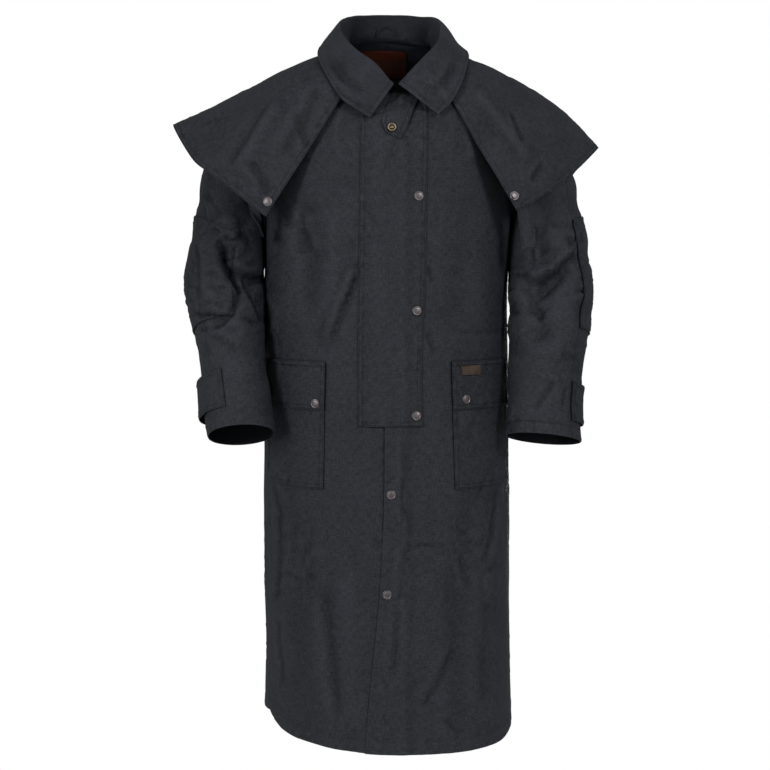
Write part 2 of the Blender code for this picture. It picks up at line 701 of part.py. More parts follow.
def bezier(start, leave, arrive, end, share):
    share = share[..., None]
    rest = 1 - share
    return rest**3 * start + 3 * rest**2 * share * leave + 3 * rest * share**2 * arrive + share**3 * end


def collar(rib, share):
    """The collar's visible face: up the inside of the stand for share 0 to 1, over the roll,
    and down the fall for share 1 to 2."""
    rib, share = np.broadcast_arrays(np.asarray(rib, float), np.asarray(share, float))
    angle, roll_x, roll_y, roll_z, edge_x, edge_y, edge_z = read_table(numbered(COLLAR), rib)
    angle = np.radians(angle)
    level = NECK + 0.0 * angle
    uphill = unit(body(angle, level) - body(angle, level - 0.002))
    out = body_normals(angle, level)
    seam = body(angle, level) - out * CLOTH + uphill * COLLAR_GAP
    roll = np.stack([roll_x, roll_y, roll_z], axis=-1)
    edge = np.stack([edge_x, edge_y, edge_z], axis=-1)
    outward = unit(out * (1.0, 1.0, 0.0)) * ROLL_RADIUS
    height = np.linalg.norm(roll - seam, axis=-1, keepdims=True)
    down = (roll - edge) * 0.4 + outward * 0.5
    stand = bezier(seam, seam + uphill * height * 0.35, roll - outward, roll, np.clip(share, 0, 1))
    fall = bezier(roll, roll + outward, edge + down, edge, np.clip(share - 1, 0, 1))
    return np.where((share < 1)[..., None], stand, fall)


def collar_normals(rib, share):
    rib = np.clip(rib, TINY, len(COLLAR) - 1 - TINY)
    share = np.clip(share, TINY, 2 - TINY)
    return normals(collar, rib, share)


def collar_ribs():
    """The collar's two ends, and a rib for each corner of the fronts' and backs' neck edge."""
    levels = np.array([NECK])
    corners = [columns(side, levels)[0] - (2 * math.pi if side == "left" else 0.0)
               for side in ("right", "left")
               for columns in (lambda *at: front_columns(*at)[0], back_columns)]
    corners = np.sort(np.degrees(-np.concatenate(corners)))
    corners = corners[np.diff(corners, prepend=0.0) > 1.0]
    fine = np.linspace(0, len(COLLAR) - 1, 600)
    angles = -read_table(numbered(COLLAR), fine)[0]
    corners = corners[(corners > angles[0] + 1.0) & (corners < angles[-1] - 1.0)]
    return np.concatenate([[0.0], np.interp(corners, angles, fine), [len(COLLAR) - 1.0]])


def collar_piece():
    ribs = collar_ribs()
    shares = np.concatenate([
        np.linspace(0, 1, STAND_STEPS, endpoint=False),
        np.linspace(1, 2, FALL_STEPS + 1),
    ])
    rib, share = np.meshgrid(ribs, shares)
    points = collar(rib, share)
    fall = shares > 1.3
    points[fall] = resting(points[fall], *cape_top(), CLOTH + COLLAR_REST)
    wall("collar", points, collar_normals(rib, share))


def throat_tab():
    """A strap with a blunt point, laid over the storm flap below the left collar leaf."""
    at = np.linspace(0, len(TAB) - 1, TAB_STEPS + 1)
    rows = np.stack([np.interp(at, range(len(TAB)), column) for column in zip(*TAB)], axis=1)
    spread_out = np.linspace(-1, 1, 5)
    x = rows[:, None, 0] + rows[:, None, 2] * spread_out * math.cos(TAB_LEAN)
    z = rows[:, None, 1] + rows[:, None, 2] * spread_out * -math.sin(TAB_LEAN)
    points, out = front_at(x, z)
    wall("throat_tab", points, out, TAB_LIFT, TRIM)


def front_at(x, z):
    """Point and normal of the body's front at this X and height, found level by level."""
    levels = np.linspace(HEM, NECK, 600)
    flat_x = np.ravel(x)
    flat_z = np.ravel(z)
    found = np.empty(len(flat_x))
    for number, (this_x, this_z) in enumerate(zip(flat_x, flat_z)):
        heights = smooth_body(front_angle(this_x, levels), levels)[..., 2]
        found[number] = np.interp(this_z, heights, levels)
    angle = front_angle(flat_x, found)
    shape = np.shape(x) + (3,)
    return body(angle, found).reshape(shape), body_normals(angle, found).reshape(shape)


def fastener(name, seat, out, radius, height, look):
    """A domed disc turned about its own Z axis, then set on its seat along the cloth's normal."""
    profile = ((1.0, 0.0), (1.0, 0.45), (0.62, 0.9))
    sides = 12
    vertices = [(radius * ring * math.cos(turn), radius * ring * math.sin(turn), height * rise)
                for ring, rise in profile
                for turn in np.arange(sides) * 2 * math.pi / sides]
    vertices.append((0.0, 0.0, height))
    top = len(vertices) - 1
    faces = [tuple(reversed(range(sides)))]
    for ring in range(len(profile) - 1):
        for step in range(sides):
            here = ring * sides + step
            there = ring * sides + (step + 1) % sides
            faces.append((here, there, there + sides, here + sides))
    last = (len(profile) - 1) * sides
    faces += [(last + step, last + (step + 1) % sides, top) for step in range(sides)]
    made = finish(name, vertices, faces, look)
    turned = np.eye(4)
    third = out / np.linalg.norm(out)
    first = unit(np.cross((0.0, 0.0, 1.0), third))
    turned[:3, 0] = first
    turned[:3, 1] = np.cross(third, first)
    turned[:3, 2] = third
    turned[:3, 3] = seat
    made.matrix_world = [list(row) for row in turned.T]
    return made


def front_fastener(name, x, z, lift, radius=SNAP_RADIUS, height=SNAP_HEIGHT, look=COPPER_SNAP):
    point, out = front_at(np.array(x), np.array(z))
    fastener(name, point + out * (lift + FASTENER_GAP), out, radius, height, look)


def fasteners():
    for number, (x, z) in enumerate(STORM_SNAPS, 1):
        front_fastener(f"storm_snap_{number}", x, z, STORM_LIFT)
    for number, (x, z) in enumerate(FRONT_SNAPS, 1):
        front_fastener(f"front_snap_{number}", x, z, LAP)
    for side, (x, z) in POCKET_SNAPS.items():
        front_fastener("pocket_snap_" + side, x, z, POCKET_FLAP_LIFT)
    front_fastener("throat_button", *TAB_BUTTON, TAB_LIFT, BUTTON_RADIUS, BUTTON_HEIGHT, HORN_BUTTON)
    for side, (rib, share) in CAPE_SNAP_SHARES.items():
        rib = np.array(rib)
        share = np.array(share)
        out = cape_normals(rib, share)
        fastener("cape_snap_" + side, cape(rib, share) + out * 2 * FASTENER_GAP, out,
                 SNAP_RADIUS, SNAP_HEIGHT, COPPER_SNAP)


def neck_label():
    """Blank leather inside the back of the neck."""
    levels = np.append(level_lines(SHOULDER_TIP, 0.05), LABEL_TOP)
    spread_out = np.linspace(-LABEL_HALF_WIDTH, LABEL_HALF_WIDTH, 7)
    angles = math.pi + spread_out / read_table(BODY, levels)[3][:, None]
    body_wall("neck_label", angles, levels, -(CLOTH + LAY_GAP), LEATHER, BROWN_LEATHER)


def pocket_badge():
    """Blank leather on the left pocket's flap."""
    x, z = np.meshgrid(np.linspace(*BADGE_X, 3), np.linspace(*BADGE_Z, 2))
    points, out = front_at(x, z)
    wall("pocket_badge", points, out, POCKET_FLAP_LIFT + LAY_GAP + LEATHER, LEATHER, TAN_LEATHER)


def hanger_loop():
    """A narrow band in an arch on the inside of the collar's stand."""
    along = np.linspace(0, 1, 9)
    across = np.array([-1.0, 1.0])
    arch = LOOP_SHARES[0] + (LOOP_SHARES[1] - LOOP_SHARES[0]) * np.sin(math.pi * along) ** 0.7
    rib = LOOP_RIBS[0] + (LOOP_RIBS[1] - LOOP_RIBS[0]) * along[:, None]
    share = arch[:, None] + across * LOOP_HALF_WIDTH / STAND_HEIGHT
    rib = rib + across * -0.04 * np.cos(math.pi * along)[:, None]
    wall("hanger_loop", collar(rib, share), collar_normals(rib, share), LOOP_GAP + TRIM, TRIM)


def keeper_strap(side):
    """Held under the cape's corner by its snap, and hanging free below the hem."""
    strap = STRAPS[side]
    sign = 1 if side == "left" else -1
    shares = np.array([0.78, 0.86, 0.93, 0.985])
    rib = np.full_like(shares, strap["rib"])
    middle = cape(rib, shares)
    out = cape_normals(rib, shares)
    across = unit(cape(rib + 0.1, shares) - cape(rib - 0.1, shares)) * -sign
    under = middle - out * (CLOTH + LAY_GAP)
    end = np.array(strap["end"])
    last_across = sign * np.array(strap["across"])
    hang = np.linspace(0, 1, 5)[1:, None]
    sag = ease(hang, 0.0, 1.0)
    down = under[-1] + (under[-1] - under[-2]) * 0.6 * hang * (1 - hang)
    centres = np.concatenate([under, down * (1 - hang) + end * hang])
    sideways = np.concatenate([across, unit(across[-1] * (1 - sag) + last_across * sag)])
    share = np.array([-1.0, 0.0, 1.0])[None, :, None]
    points = centres[:, None] + sideways[:, None] * share * STRAP_HALF_WIDTH
    along = np.gradient(centres, axis=0)
    facing = unit(np.cross(along, sideways))
    facing *= np.sign(np.sum(facing[0] * out[0]))
    wall("keeper_strap_" + side, points, np.repeat(facing[:, None], 3, axis=1), 0.0, TRIM)


def main():
    clear_scene()
    for side in ("left", "right"):
        front_panel(side)
        back_panel(side)
        sleeve_pieces(side)
        sleeve_trim(side)
        pocket(side)
        keeper_strap(side)
    storm_flap()
    cape_piece()
    collar_piece()
    throat_tab()
    fasteners()
    neck_label()
    pocket_badge()
    hanger_loop()


main()
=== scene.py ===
"""A caped duster coat of waxed cotton, worn and filled out with no wearer.

Blender 4.5. Metres, +Z up, the coat faces -Y and the wearer's left is +X. Every cloth piece is
a grid of points on one of four surfaces: body, sleeve, cape or collar. A piece lying on another
one is made of the same surface, lifted along its normals, so that folds run through both. Only
the keeper straps and the hanger loop are bands along paths of their own.
"""

import functools
import math

import bpy
import numpy as np
from bpy.props import FloatProperty, FloatVectorProperty, PointerProperty
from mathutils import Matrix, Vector


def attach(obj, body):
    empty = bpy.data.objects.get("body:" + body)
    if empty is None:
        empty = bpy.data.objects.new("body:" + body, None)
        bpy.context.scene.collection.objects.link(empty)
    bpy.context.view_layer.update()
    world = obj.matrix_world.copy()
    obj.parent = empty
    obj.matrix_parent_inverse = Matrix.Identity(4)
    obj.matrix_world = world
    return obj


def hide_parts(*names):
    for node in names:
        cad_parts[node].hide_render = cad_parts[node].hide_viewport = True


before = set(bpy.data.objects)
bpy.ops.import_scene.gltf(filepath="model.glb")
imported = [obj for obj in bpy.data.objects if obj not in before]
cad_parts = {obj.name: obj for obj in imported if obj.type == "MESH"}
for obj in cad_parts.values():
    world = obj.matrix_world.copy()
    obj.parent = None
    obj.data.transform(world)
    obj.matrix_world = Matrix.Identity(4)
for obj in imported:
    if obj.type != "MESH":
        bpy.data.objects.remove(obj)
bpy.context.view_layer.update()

bl_info = {
    "name": "Duster Coat",
    "version": (1, 0, 0),
    "blender": (4, 5, 0),
    "location": "View3D > Sidebar > Duster Coat",
    "description": "Makes a caped duster coat of waxed cotton over its rigid frame",
    "category": "Object",
}

MM = 0.001
BODY_NAME = "root"

# Thicknesses, and heights of the layers above the body's outer face
CLOTH = 0.0020
TRIM = 0.0016
LEATHER = 0.0018
SEAM_GAP = 0.0003
LAY_GAP = 0.0008
LAP = CLOTH + LAY_GAP
STORM_LIFT = TRIM + LAY_GAP
TAB_LIFT = LAP + STORM_LIFT + TRIM + LAY_GAP
POCKET_LIFT = TRIM + LAY_GAP
POCKET_FLAP_LIFT = 2 * POCKET_LIFT

# Heights along the coat. Above the shoulder tip a level counts along the shoulder seam.
HEM = -1.280
POCKET_BOTTOM = -0.797
STORM_BOTTOM = -0.681
POCKET_FLAP_BOTTOM = -0.653
POCKET_TOP = -0.565
ARMPIT = -0.250
SHOULDER_TIP = -0.050
STORM_TOP = 0.075
NECK = 0.095

# Body of the coat. Columns: level, height of the side, half width, depth in front of and behind
# the centre, centre Y, how far the middle of the front and of the back lie below the side, and
# how far the front leans to the wearer's left for each metre of depth.
BODY = (
    (-1.280, -1.280, 0.2370, 0.250, 0.130, 0.050, 0.000, 0.000, 0.18),
    (-1.000, -1.000, 0.2365, 0.236, 0.136, 0.045, 0.000, 0.000, 0.10),
    (-0.730, -0.730, 0.2355, 0.215, 0.142, 0.036, 0.000, 0.000, 0.03),
    (-0.550, -0.550, 0.2340, 0.196, 0.142, 0.030, 0.000, 0.000, 0.00),
    (-0.400, -0.400, 0.2325, 0.182, 0.142, 0.025, 0.000, 0.000, 0.00),
    (-0.250, -0.250, 0.2300, 0.172, 0.140, 0.020, 0.000, 0.000, 0.03),
    (-0.150, -0.150, 0.2240, 0.164, 0.132, 0.018, 0.035, -0.005, 0.06),
    (-0.050, -0.050, 0.2130, 0.148, 0.118, 0.015, 0.085, -0.020, 0.10),
    (0.020, -0.018, 0.1520, 0.128, 0.100, 0.012, 0.093, -0.018, 0.14),
    (0.095, 0.018, 0.0820, 0.105, 0.078, 0.010, 0.100, -0.017, 0.18),
)
ROUNDNESS = 2.2
# Below these levels the whole body sits this far to the wearer's right.
BODY_SHIFT = -0.004
SHIFT_LEVELS = (-0.500, -0.280)

# Front edges and seams
SIDE_SEAM = math.radians(78)
SIDE_SEAM_TURNS = -0.450
SHOULDER_SEAM = math.radians(90)
ARMHOLE_REACH = math.radians(34)
ARMHOLE_ROUNDNESS = 0.5
UNDERLAP_X = 0.024
LAP_SLOPE = 0.0175
STORM_EDGE_X = 0.066
STORM_SEAM_X = -0.050
# Where the left front's edge runs. Columns: level, X.
OVERLAP_EDGE = (
    (-1.280, -0.0410),
    (-1.150, -0.0302),
    (-0.980, -0.0146),
    (-0.803, -0.0068),
    (-0.703, -0.0060),
    (-0.400, -0.0060),
    (0.095, -0.0060),
)
POCKET_SHARE = {"left": 0.237, "right": 0.273}
POCKET_REACH = 5 / 6
VENT_TOP = POCKET_BOTTOM
VENT_SLANT = 0.053
VENT_LAP = math.radians(11)
# Angles before the vent's lap and before the middle of the back between which the lap rises
VENT_EASES = (0.10, 0.07)

# Largest folds of the front and of the back, each a soft ridge or trough along a line.
# Columns: X and Z of its top, X and Z of its bottom, half width, height.
FRONT_FOLDS = (
    (-0.052, -0.385, -0.115, -0.540, 0.020, -0.0050),
    (-0.098, -0.300, -0.100, -0.520, 0.022, 0.0050),
    (-0.150, -0.280, -0.145, -0.470, 0.022, -0.0070),
    (0.140, -0.260, 0.125, -0.500, 0.026, -0.0050),
    (0.168, -0.840, 0.182, -1.100, 0.022, 0.0060),
    (0.118, -0.950, 0.135, -1.260, 0.028, -0.0060),
    (-0.080, -0.960, -0.066, -1.220, 0.028, 0.0060),
    (-0.160, -0.860, -0.165, -1.240, 0.030, -0.0060),
    (-0.206, -0.740, -0.200, -1.100, 0.018, 0.0040),
)
BACK_FOLDS = (
    (0.070, -0.480, 0.105, -1.280, 0.032, 0.0080),
    (0.150, -0.620, 0.185, -1.280, 0.028, -0.0070),
    (-0.060, -0.520, -0.095, -1.280, 0.032, 0.0080),
    (-0.140, -0.600, -0.180, -1.280, 0.028, -0.0070),
    (0.110, -0.260, 0.080, -0.450, 0.026, -0.0050),
    (-0.110, -0.260, -0.085, -0.450, 0.026, -0.0050),
)

# Sleeves, from the armhole to the cuff. Columns: distance from the middle and height of the
# inner side, the same of the outer side, centre Y, half depth, forward tilt in degrees.
SLEEVES = {
    "right": (
        (0.2265, -0.250, 0.215, -0.050, 0.020, 0.095, 0.0),
        (0.2360, -0.264, 0.285, -0.084, 0.020, 0.092, 0.0),
        (0.2370, -0.290, 0.325, -0.130, 0.020, 0.089, 0.0),
        (0.2335, -0.328, 0.351, -0.222, 0.016, 0.086, 3.0),
        (0.2320, -0.375, 0.366, -0.330, 0.004, 0.084, 8.0),
        (0.2315, -0.430, 0.379, -0.425, -0.016, 0.082, 16.0),
        (0.2305, -0.490, 0.366, -0.500, -0.044, 0.078, 22.0),
        (0.2290, -0.560, 0.350, -0.575, -0.076, 0.073, 24.0),
        (0.2160, -0.630, 0.341, -0.640, -0.106, 0.068, 24.0),
        (0.2070, -0.695, 0.331, -0.705, -0.135, 0.064, 24.0),
    ),
    "left": (
        (0.2265, -0.250, 0.215, -0.050, 0.020, 0.095, 0.0),
        (0.2360, -0.264, 0.285, -0.086, 0.020, 0.092, 0.0),
        (0.2380, -0.290, 0.325, -0.132, 0.020, 0.089, 0.0),
        (0.2310, -0.328, 0.350, -0.226, 0.014, 0.086, 2.0),
        (0.2280, -0.375, 0.368, -0.330, -0.004, 0.084, 6.0),
        (0.2265, -0.430, 0.382, -0.425, -0.026, 0.082, 11.0),
        (0.2260, -0.500, 0.376, -0.505, -0.047, 0.078, 14.0),
        (0.2260, -0.570, 0.364, -0.580, -0.068, 0.074, 15.0),
        (0.2220, -0.640, 0.356, -0.655, -0.087, 0.070, 15.0),
        (0.2160, -0.704, 0.357, -0.718, -0.105, 0.068, 15.0),
    ),
}
CAP_BLEND = 0.09
# Creases at the elbows, on the front of each sleeve. Columns as for the body, X as a distance.
SLEEVE_FOLDS = {
    "right": (
        (0.331, -0.325, 0.272, -0.435, 0.014, -0.0070),
        (0.352, -0.350, 0.330, -0.450, 0.018, 0.0050),
        (0.305, -0.365, 0.245, -0.395, 0.013, -0.0060),
        (0.262, -0.420, 0.232, -0.500, 0.018, -0.0080),
        (0.352, -0.480, 0.275, -0.505, 0.014, -0.0060),
    ),
    "left": (
        (0.325, -0.370, 0.256, -0.437, 0.014, -0.0060),
        (0.290, -0.410, 0.275, -0.530, 0.020, -0.0090),
        (0.345, -0.430, 0.320, -0.540, 0.020, 0.0040),
    ),
}

# Cape. Each rib runs from the neck to the hem. Columns: angle at the neck in degrees,
# X, Y, Z of the hem, X, Y, Z of how far the rib's middle bows from a straight line.
CAPE = (
    (-38, -0.221, -0.140, -0.303, 0.000, -0.018, 0.004),
    (-58, -0.322, -0.108, -0.226, -0.004, -0.026, 0.016),
    (-76, -0.368, -0.052, -0.188, 0.000, -0.010, 0.020),
    (-92, -0.406, 0.030, -0.128, 0.000, 0.000, 0.002),
    (-120, -0.352, 0.140, -0.215, -0.004, 0.016, 0.030),
    (-150, -0.245, 0.192, -0.350, -0.004, 0.034, 0.030),
    (-180, 0.000, 0.205, -0.395, 0.000, 0.036, 0.026),
    (-210, 0.245, 0.192, -0.355, 0.004, 0.034, 0.030),
    (-240, 0.352, 0.140, -0.235, 0.008, 0.016, 0.034),
    (-268, 0.400, 0.030, -0.171, 0.016, 0.000, 0.020),
    (-284, 0.343, -0.060, -0.222, 0.012, -0.012, 0.034),
    (-302, 0.290, -0.110, -0.260, 0.004, -0.024, 0.022),
    (-322, 0.233, -0.140, -0.293, 0.000, -0.018, 0.004),
)
CAPE_NECK_LEVEL = 0.080
CAPE_NECK_GAP = 0.0006
CAPE_NECK_REST = 0.0004
CAPE_REST = 0.0060
COLLAR_REST = 0.0035
# Points of the supports: round and up the body, round and along a sleeve, round and down the
# cape. Then their lowest level, shares of the sleeve, and share of the cape.
BODY_SUPPORT = (121, 48)
SLEEVE_SUPPORT = (49, 25)
CAPE_SUPPORT = (145, 30)
SUPPORT_BOTTOM = -0.32
SUPPORT_SHARES = (0.04, 0.5)
UNDER_COLLAR = 0.6
# The coarse grids of the cape and the collar, and from which share the fall rests on the cape
POINTS_PER_RIB = 4
CAPE_ROWS = 19
COLLAR_ROWS = 25
FALL_RESTS = 1.3
NO_REST = -1.0
# Laying cloth on its support: rounds, points worked on at once, and the least cosine allowed
# between the two normals
RESTING_ROUNDS = 3
RESTING_BATCH = 200
LEAST_AGREEMENT = 0.6

# Collar. Each rib runs from the neck seam up the stand, over the roll and down the fall.
# Columns: angle at the neck in degrees, X, Y, Z of the roll, X, Y, Z of the outer edge.
COLLAR = (
    (-5.5, 0.011, -0.121, -0.064, -0.033, -0.141, -0.126),
    (-24, -0.029, -0.108, -0.023, -0.070, -0.140, -0.103),
    (-50, -0.076, -0.062, 0.020, -0.092, -0.122, -0.080),
    (-80, -0.088, 0.000, 0.060, -0.124, -0.050, -0.016),
    (-115, -0.072, 0.048, 0.076, -0.124, 0.050, 0.018),
    (-150, -0.040, 0.080, 0.084, -0.073, 0.116, 0.010),
    (-180, 0.000, 0.090, 0.086, 0.000, 0.133, 0.002),
    (-210, 0.044, 0.080, 0.084, 0.077, 0.116, 0.010),
    (-245, 0.080, 0.048, 0.076, 0.132, 0.050, 0.014),
    (-280, 0.098, 0.000, 0.060, 0.142, -0.044, -0.016),
    (-310, 0.090, -0.062, 0.020, 0.124, -0.118, -0.078),
    (-336, 0.055, -0.108, -0.025, 0.109, -0.136, -0.103),
    (-358, 0.018, -0.123, -0.064, 0.090, -0.142, -0.120),
)
ROLL_RADIUS = 0.010
COLLAR_GAP = 0.0005

# Round fasteners
BUTTON_RADIUS = 0.0080
STORM_SNAPS = ((0.0553, -0.266), (0.0520, -0.472), (0.0510, -0.661))
FRONT_SNAPS = ((0.0058, -0.803), (-0.0015, -0.985))
POCKET_SNAPS = {"left": (0.141, -0.634), "right": (-0.130, -0.641)}
CAPE_SNAP_SHARES = {"left": (11.86, 0.915), "right": (0.08, 0.925)}

# Small pieces
# Throat tab. Columns: X and Z of its middle, half width, from the top to the blunt point.
TAB = (
    (0.032, -0.087, 0.0240),
    (0.022, -0.110, 0.0240),
    (0.009, -0.142, 0.0240),
    (0.010, -0.161, 0.0137),
)
TAB_LEAN = math.radians(20)
TAB_BUTTON = (0.007, -0.1465)
LABEL_HALF_WIDTH = 0.043
LABEL_TOP = 0.067
BADGE_X = (0.131, 0.166)
BADGE_Z = (-0.590, -0.573)
# Hanger loop, an arch on the inside of the stand, in the collar's own ribs and shares.
LOOP_RIBS = (5.38, 6.36)
LOOP_SHARES = (0.20, 0.44)
LOOP_SQUARENESS = 0.4
LOOP_HALF_WIDTH = 0.0025
LOOP_GAP = 0.0013
# Keeper straps. They leave the cape's underside at this rib and hang to their end.
STRAP_HALF_WIDTH = 0.0135
STRAP_SHARES = (0.78, 0.86, 0.93, 0.985)
STRAP_BOW = 0.6
STRAPS = {
    "left": {"rib": 11.76, "end": (0.257, -0.126, -0.362), "across": (0.97, 0.10, 0.20)},
    "right": {"rib": 0.24, "end": (-0.230, -0.098, -0.338), "across": (-0.30, 0.92, 0.10)},
}

TINY = 1e-4
LEAN_STEPS = 6
NEWTON_STEPS = 12
# The front lies about this far below its level, above the armpit.
FRONT_DROP = 0.10
HASH_FACTORS = (374761393, 668265263, 1440662683)
SIDES = ("left", "right")
# The wearer's left is +X.
SIGNS = {"left": 1, "right": -1}
# Which side of a piece's grid is its edge near the middle, and which is the other one
EDGE_ORDER = {"left": ("start", "end"), "right": ("end", "start")}
BESIDE = np.array([-1.0, 0.0, 1.0])

# Where the storm flap's free edge and its seam run. Columns: level, X of the edge, X of the seam.
STORM_EDGES = (
    (-0.681, 0.0630, -0.0540),
    (-0.580, 0.0600, -0.0538),
    (-0.450, 0.0655, -0.0530),
    (-0.340, 0.0678, -0.0515),
    (-0.180, 0.0700, -0.0500),
    (0.075, 0.0700, -0.0490),
)
# How far the hem rises beside the left and the right side seam.
HEM_RISES = (0.034, 0.026)
# How far round the body that reaches in front and behind, as angles, and the level where it ends
HEM_RISE_REACHES = (0.20, 0.75)
HEM_RISE_TOP = HEM + 0.30
# How far the left front's edge draws back from the side seam at the hem, and where that starts
HEM_SLIT = math.radians(4)
HEM_SLIT_TOP = HEM + 0.13

# Creases of the front, the sleeves, the cape and the collar, each along a line through three
# points. Columns: X and Z of the three points, half width, height.
FRONT_CREASES = (
    (-0.052, -0.388, -0.081, -0.462, -0.113, -0.536, 0.0050, -0.0045),
    (-0.064, -0.388, -0.094, -0.462, -0.124, -0.536, 0.0100, 0.0025),
    (-0.155, -0.292, -0.146, -0.336, -0.135, -0.374, 0.0140, 0.0030),
    (-0.170, -0.323, -0.170, -0.349, -0.170, -0.374, 0.0100, -0.0040),
    (0.134, -0.113, 0.141, -0.159, 0.149, -0.206, 0.0160, 0.0025),
    (0.068, -0.393, 0.074, -0.408, 0.079, -0.424, 0.0050, -0.0025),
    (0.065, -0.510, 0.076, -0.534, 0.085, -0.556, 0.0050, -0.0025),
    (0.116, -0.515, 0.169, -0.517, 0.220, -0.517, 0.0050, -0.0012),
    (-0.047, -0.284, -0.034, -0.304, -0.022, -0.323, 0.0040, -0.0015),
    (-0.130, -0.960, -0.112, -1.100, -0.094, -1.240, 0.0160, -0.0035),
    (-0.033, -0.886, -0.025, -0.896, -0.018, -0.909, 0.0040, -0.0020),
    (-0.218, -0.792, -0.204, -0.855, -0.210, -1.048, 0.0070, -0.0030),
    (-0.210, -1.048, -0.207, -1.120, -0.203, -1.198, 0.0070, -0.0025),
    (0.210, -0.787, 0.197, -0.876, 0.179, -0.951, 0.0070, 0.0035),
    (0.179, -0.951, 0.177, -0.984, 0.175, -1.015, 0.0070, 0.0025),
    (0.045, -0.898, 0.076, -0.899, 0.105, -0.903, 0.0035, -0.0016),
    (0.126, -0.913, 0.137, -0.949, 0.150, -0.987, 0.0050, -0.0020),
    (0.120, -1.080, 0.092, -1.140, 0.055, -1.195, 0.0090, -0.0025),
    (0.099, -1.217, 0.117, -1.236, 0.134, -1.253, 0.0050, -0.0020),
    (0.024, -0.704, 0.031, -0.762, 0.018, -0.818, 0.0040, -0.0020),
    (0.018, -0.818, 0.038, -0.853, 0.036, -0.882, 0.0040, -0.0020),
    (0.036, -0.882, 0.025, -0.923, 0.020, -1.003, 0.0040, -0.0018),
    (0.020, -1.003, 0.014, -1.071, 0.011, -1.139, 0.0040, -0.0016),
    (-0.001, -0.789, 0.007, -0.778, 0.014, -0.769, 0.0030, -0.0015),
    (0.176, -0.980, 0.171, -1.098, 0.176, -1.220, 0.0200, -0.0035),
)
SLEEVE_CREASES = {
    "right": (
        (0.262, -0.447, 0.298, -0.400, 0.320, -0.340, 0.0080, -0.0100),
        (0.262, -0.430, 0.284, -0.482, 0.324, -0.511, 0.0090, -0.0080),
        (0.318, -0.507, 0.334, -0.511, 0.350, -0.517, 0.0050, -0.0030),
        (0.338, -0.251, 0.321, -0.277, 0.306, -0.305, 0.0060, -0.0030),
        (0.300, -0.332, 0.290, -0.351, 0.279, -0.369, 0.0050, -0.0030),
        (0.298, -0.390, 0.265, -0.404, 0.225, -0.420, 0.0110, -0.0095),
        (0.266, -0.408, 0.258, -0.443, 0.230, -0.508, 0.0080, 0.0050),
        (0.366, -0.481, 0.328, -0.480, 0.294, -0.481, 0.0040, -0.0030),
        (0.342, -0.510, 0.302, -0.524, 0.264, -0.541, 0.0060, -0.0030),
        (0.273, -0.482, 0.257, -0.488, 0.241, -0.495, 0.0040, -0.0030),
        (0.355, -0.328, 0.344, -0.396, 0.338, -0.464, 0.0060, -0.0025),
        (0.334, -0.400, 0.318, -0.405, 0.302, -0.402, 0.0040, -0.0020),
        (0.332, -0.427, 0.315, -0.433, 0.297, -0.429, 0.0040, -0.0020),
        (0.334, -0.455, 0.316, -0.460, 0.296, -0.460, 0.0040, -0.0020),
        (0.329, -0.319, 0.318, -0.323, 0.306, -0.332, 0.0060, -0.0030),
    ),
    "left": (
        (0.255, -0.428, 0.305, -0.398, 0.348, -0.356, 0.0110, 0.0120),
        (0.256, -0.462, 0.306, -0.432, 0.346, -0.390, 0.0130, -0.0090),
        (0.270, -0.422, 0.263, -0.432, 0.254, -0.443, 0.0070, 0.0030),
        (0.244, -0.434, 0.258, -0.466, 0.280, -0.496, 0.0110, -0.0080),
        (0.318, -0.392, 0.328, -0.422, 0.337, -0.448, 0.0060, 0.0045),
        (0.339, -0.442, 0.351, -0.442, 0.363, -0.442, 0.0040, -0.0030),
        (0.240, -0.461, 0.252, -0.472, 0.265, -0.486, 0.0050, -0.0030),
        (0.265, -0.656, 0.287, -0.627, 0.309, -0.600, 0.0060, -0.0030),
        (0.324, -0.608, 0.320, -0.628, 0.316, -0.647, 0.0040, -0.0020),
    ),
}
CAPE_CREASES = (
    (-0.200, -0.085, -0.245, -0.160, -0.285, -0.225, 0.0140, 0.0075),
    (-0.254, -0.205, -0.232, -0.237, -0.222, -0.268, 0.0080, -0.0050),
    (-0.172, -0.110, -0.161, -0.149, -0.148, -0.184, 0.0070, -0.0045),
    (-0.130, -0.060, -0.155, -0.120, -0.200, -0.200, 0.0120, -0.0045),
    (0.220, -0.110, 0.231, -0.142, 0.240, -0.172, 0.0070, -0.0040),
    (0.285, -0.200, 0.271, -0.218, 0.258, -0.236, 0.0060, -0.0035),
    (0.150, -0.070, 0.200, -0.140, 0.262, -0.215, 0.0130, 0.0050),
)
COLLAR_CREASES = (
    (-0.110, -0.015, -0.085, -0.055, -0.045, -0.090, 0.0100, -0.0035),
    (-0.098, -0.060, -0.070, -0.088, -0.035, -0.105, 0.0080, 0.0025),
    (0.050, -0.045, 0.085, -0.070, 0.110, -0.105, 0.0100, 0.0035),
    (0.120, -0.020, 0.100, -0.055, 0.075, -0.080, 0.0080, -0.0025),
)


def loose_creases(seed, count, x_range, z_range, reach):
    """Rows of creases at random places, as on the sides that the photograph doesn't show: each
    falls steeply, bends once, and is a ridge or a trough."""
    random = np.random.default_rng(seed)
    middle_x = random.uniform(*x_range, count)
    middle_z = random.uniform(*z_range, count)
    lean = random.uniform(-0.6, 0.6, (2, count))
    length = reach * random.uniform(0.5, 1.0, (2, count))
    width = random.uniform(0.005, 0.014, count)
    depth = random.uniform(0.0015, 0.0040, count) * random.choice([-1.0, 1.0], count)
    columns = [middle_x + lean[0] * length[0], middle_z + length[0], middle_x, middle_z,
               middle_x - lean[1] * length[1], middle_z - length[1], width, depth]
    return tuple(zip(*columns))


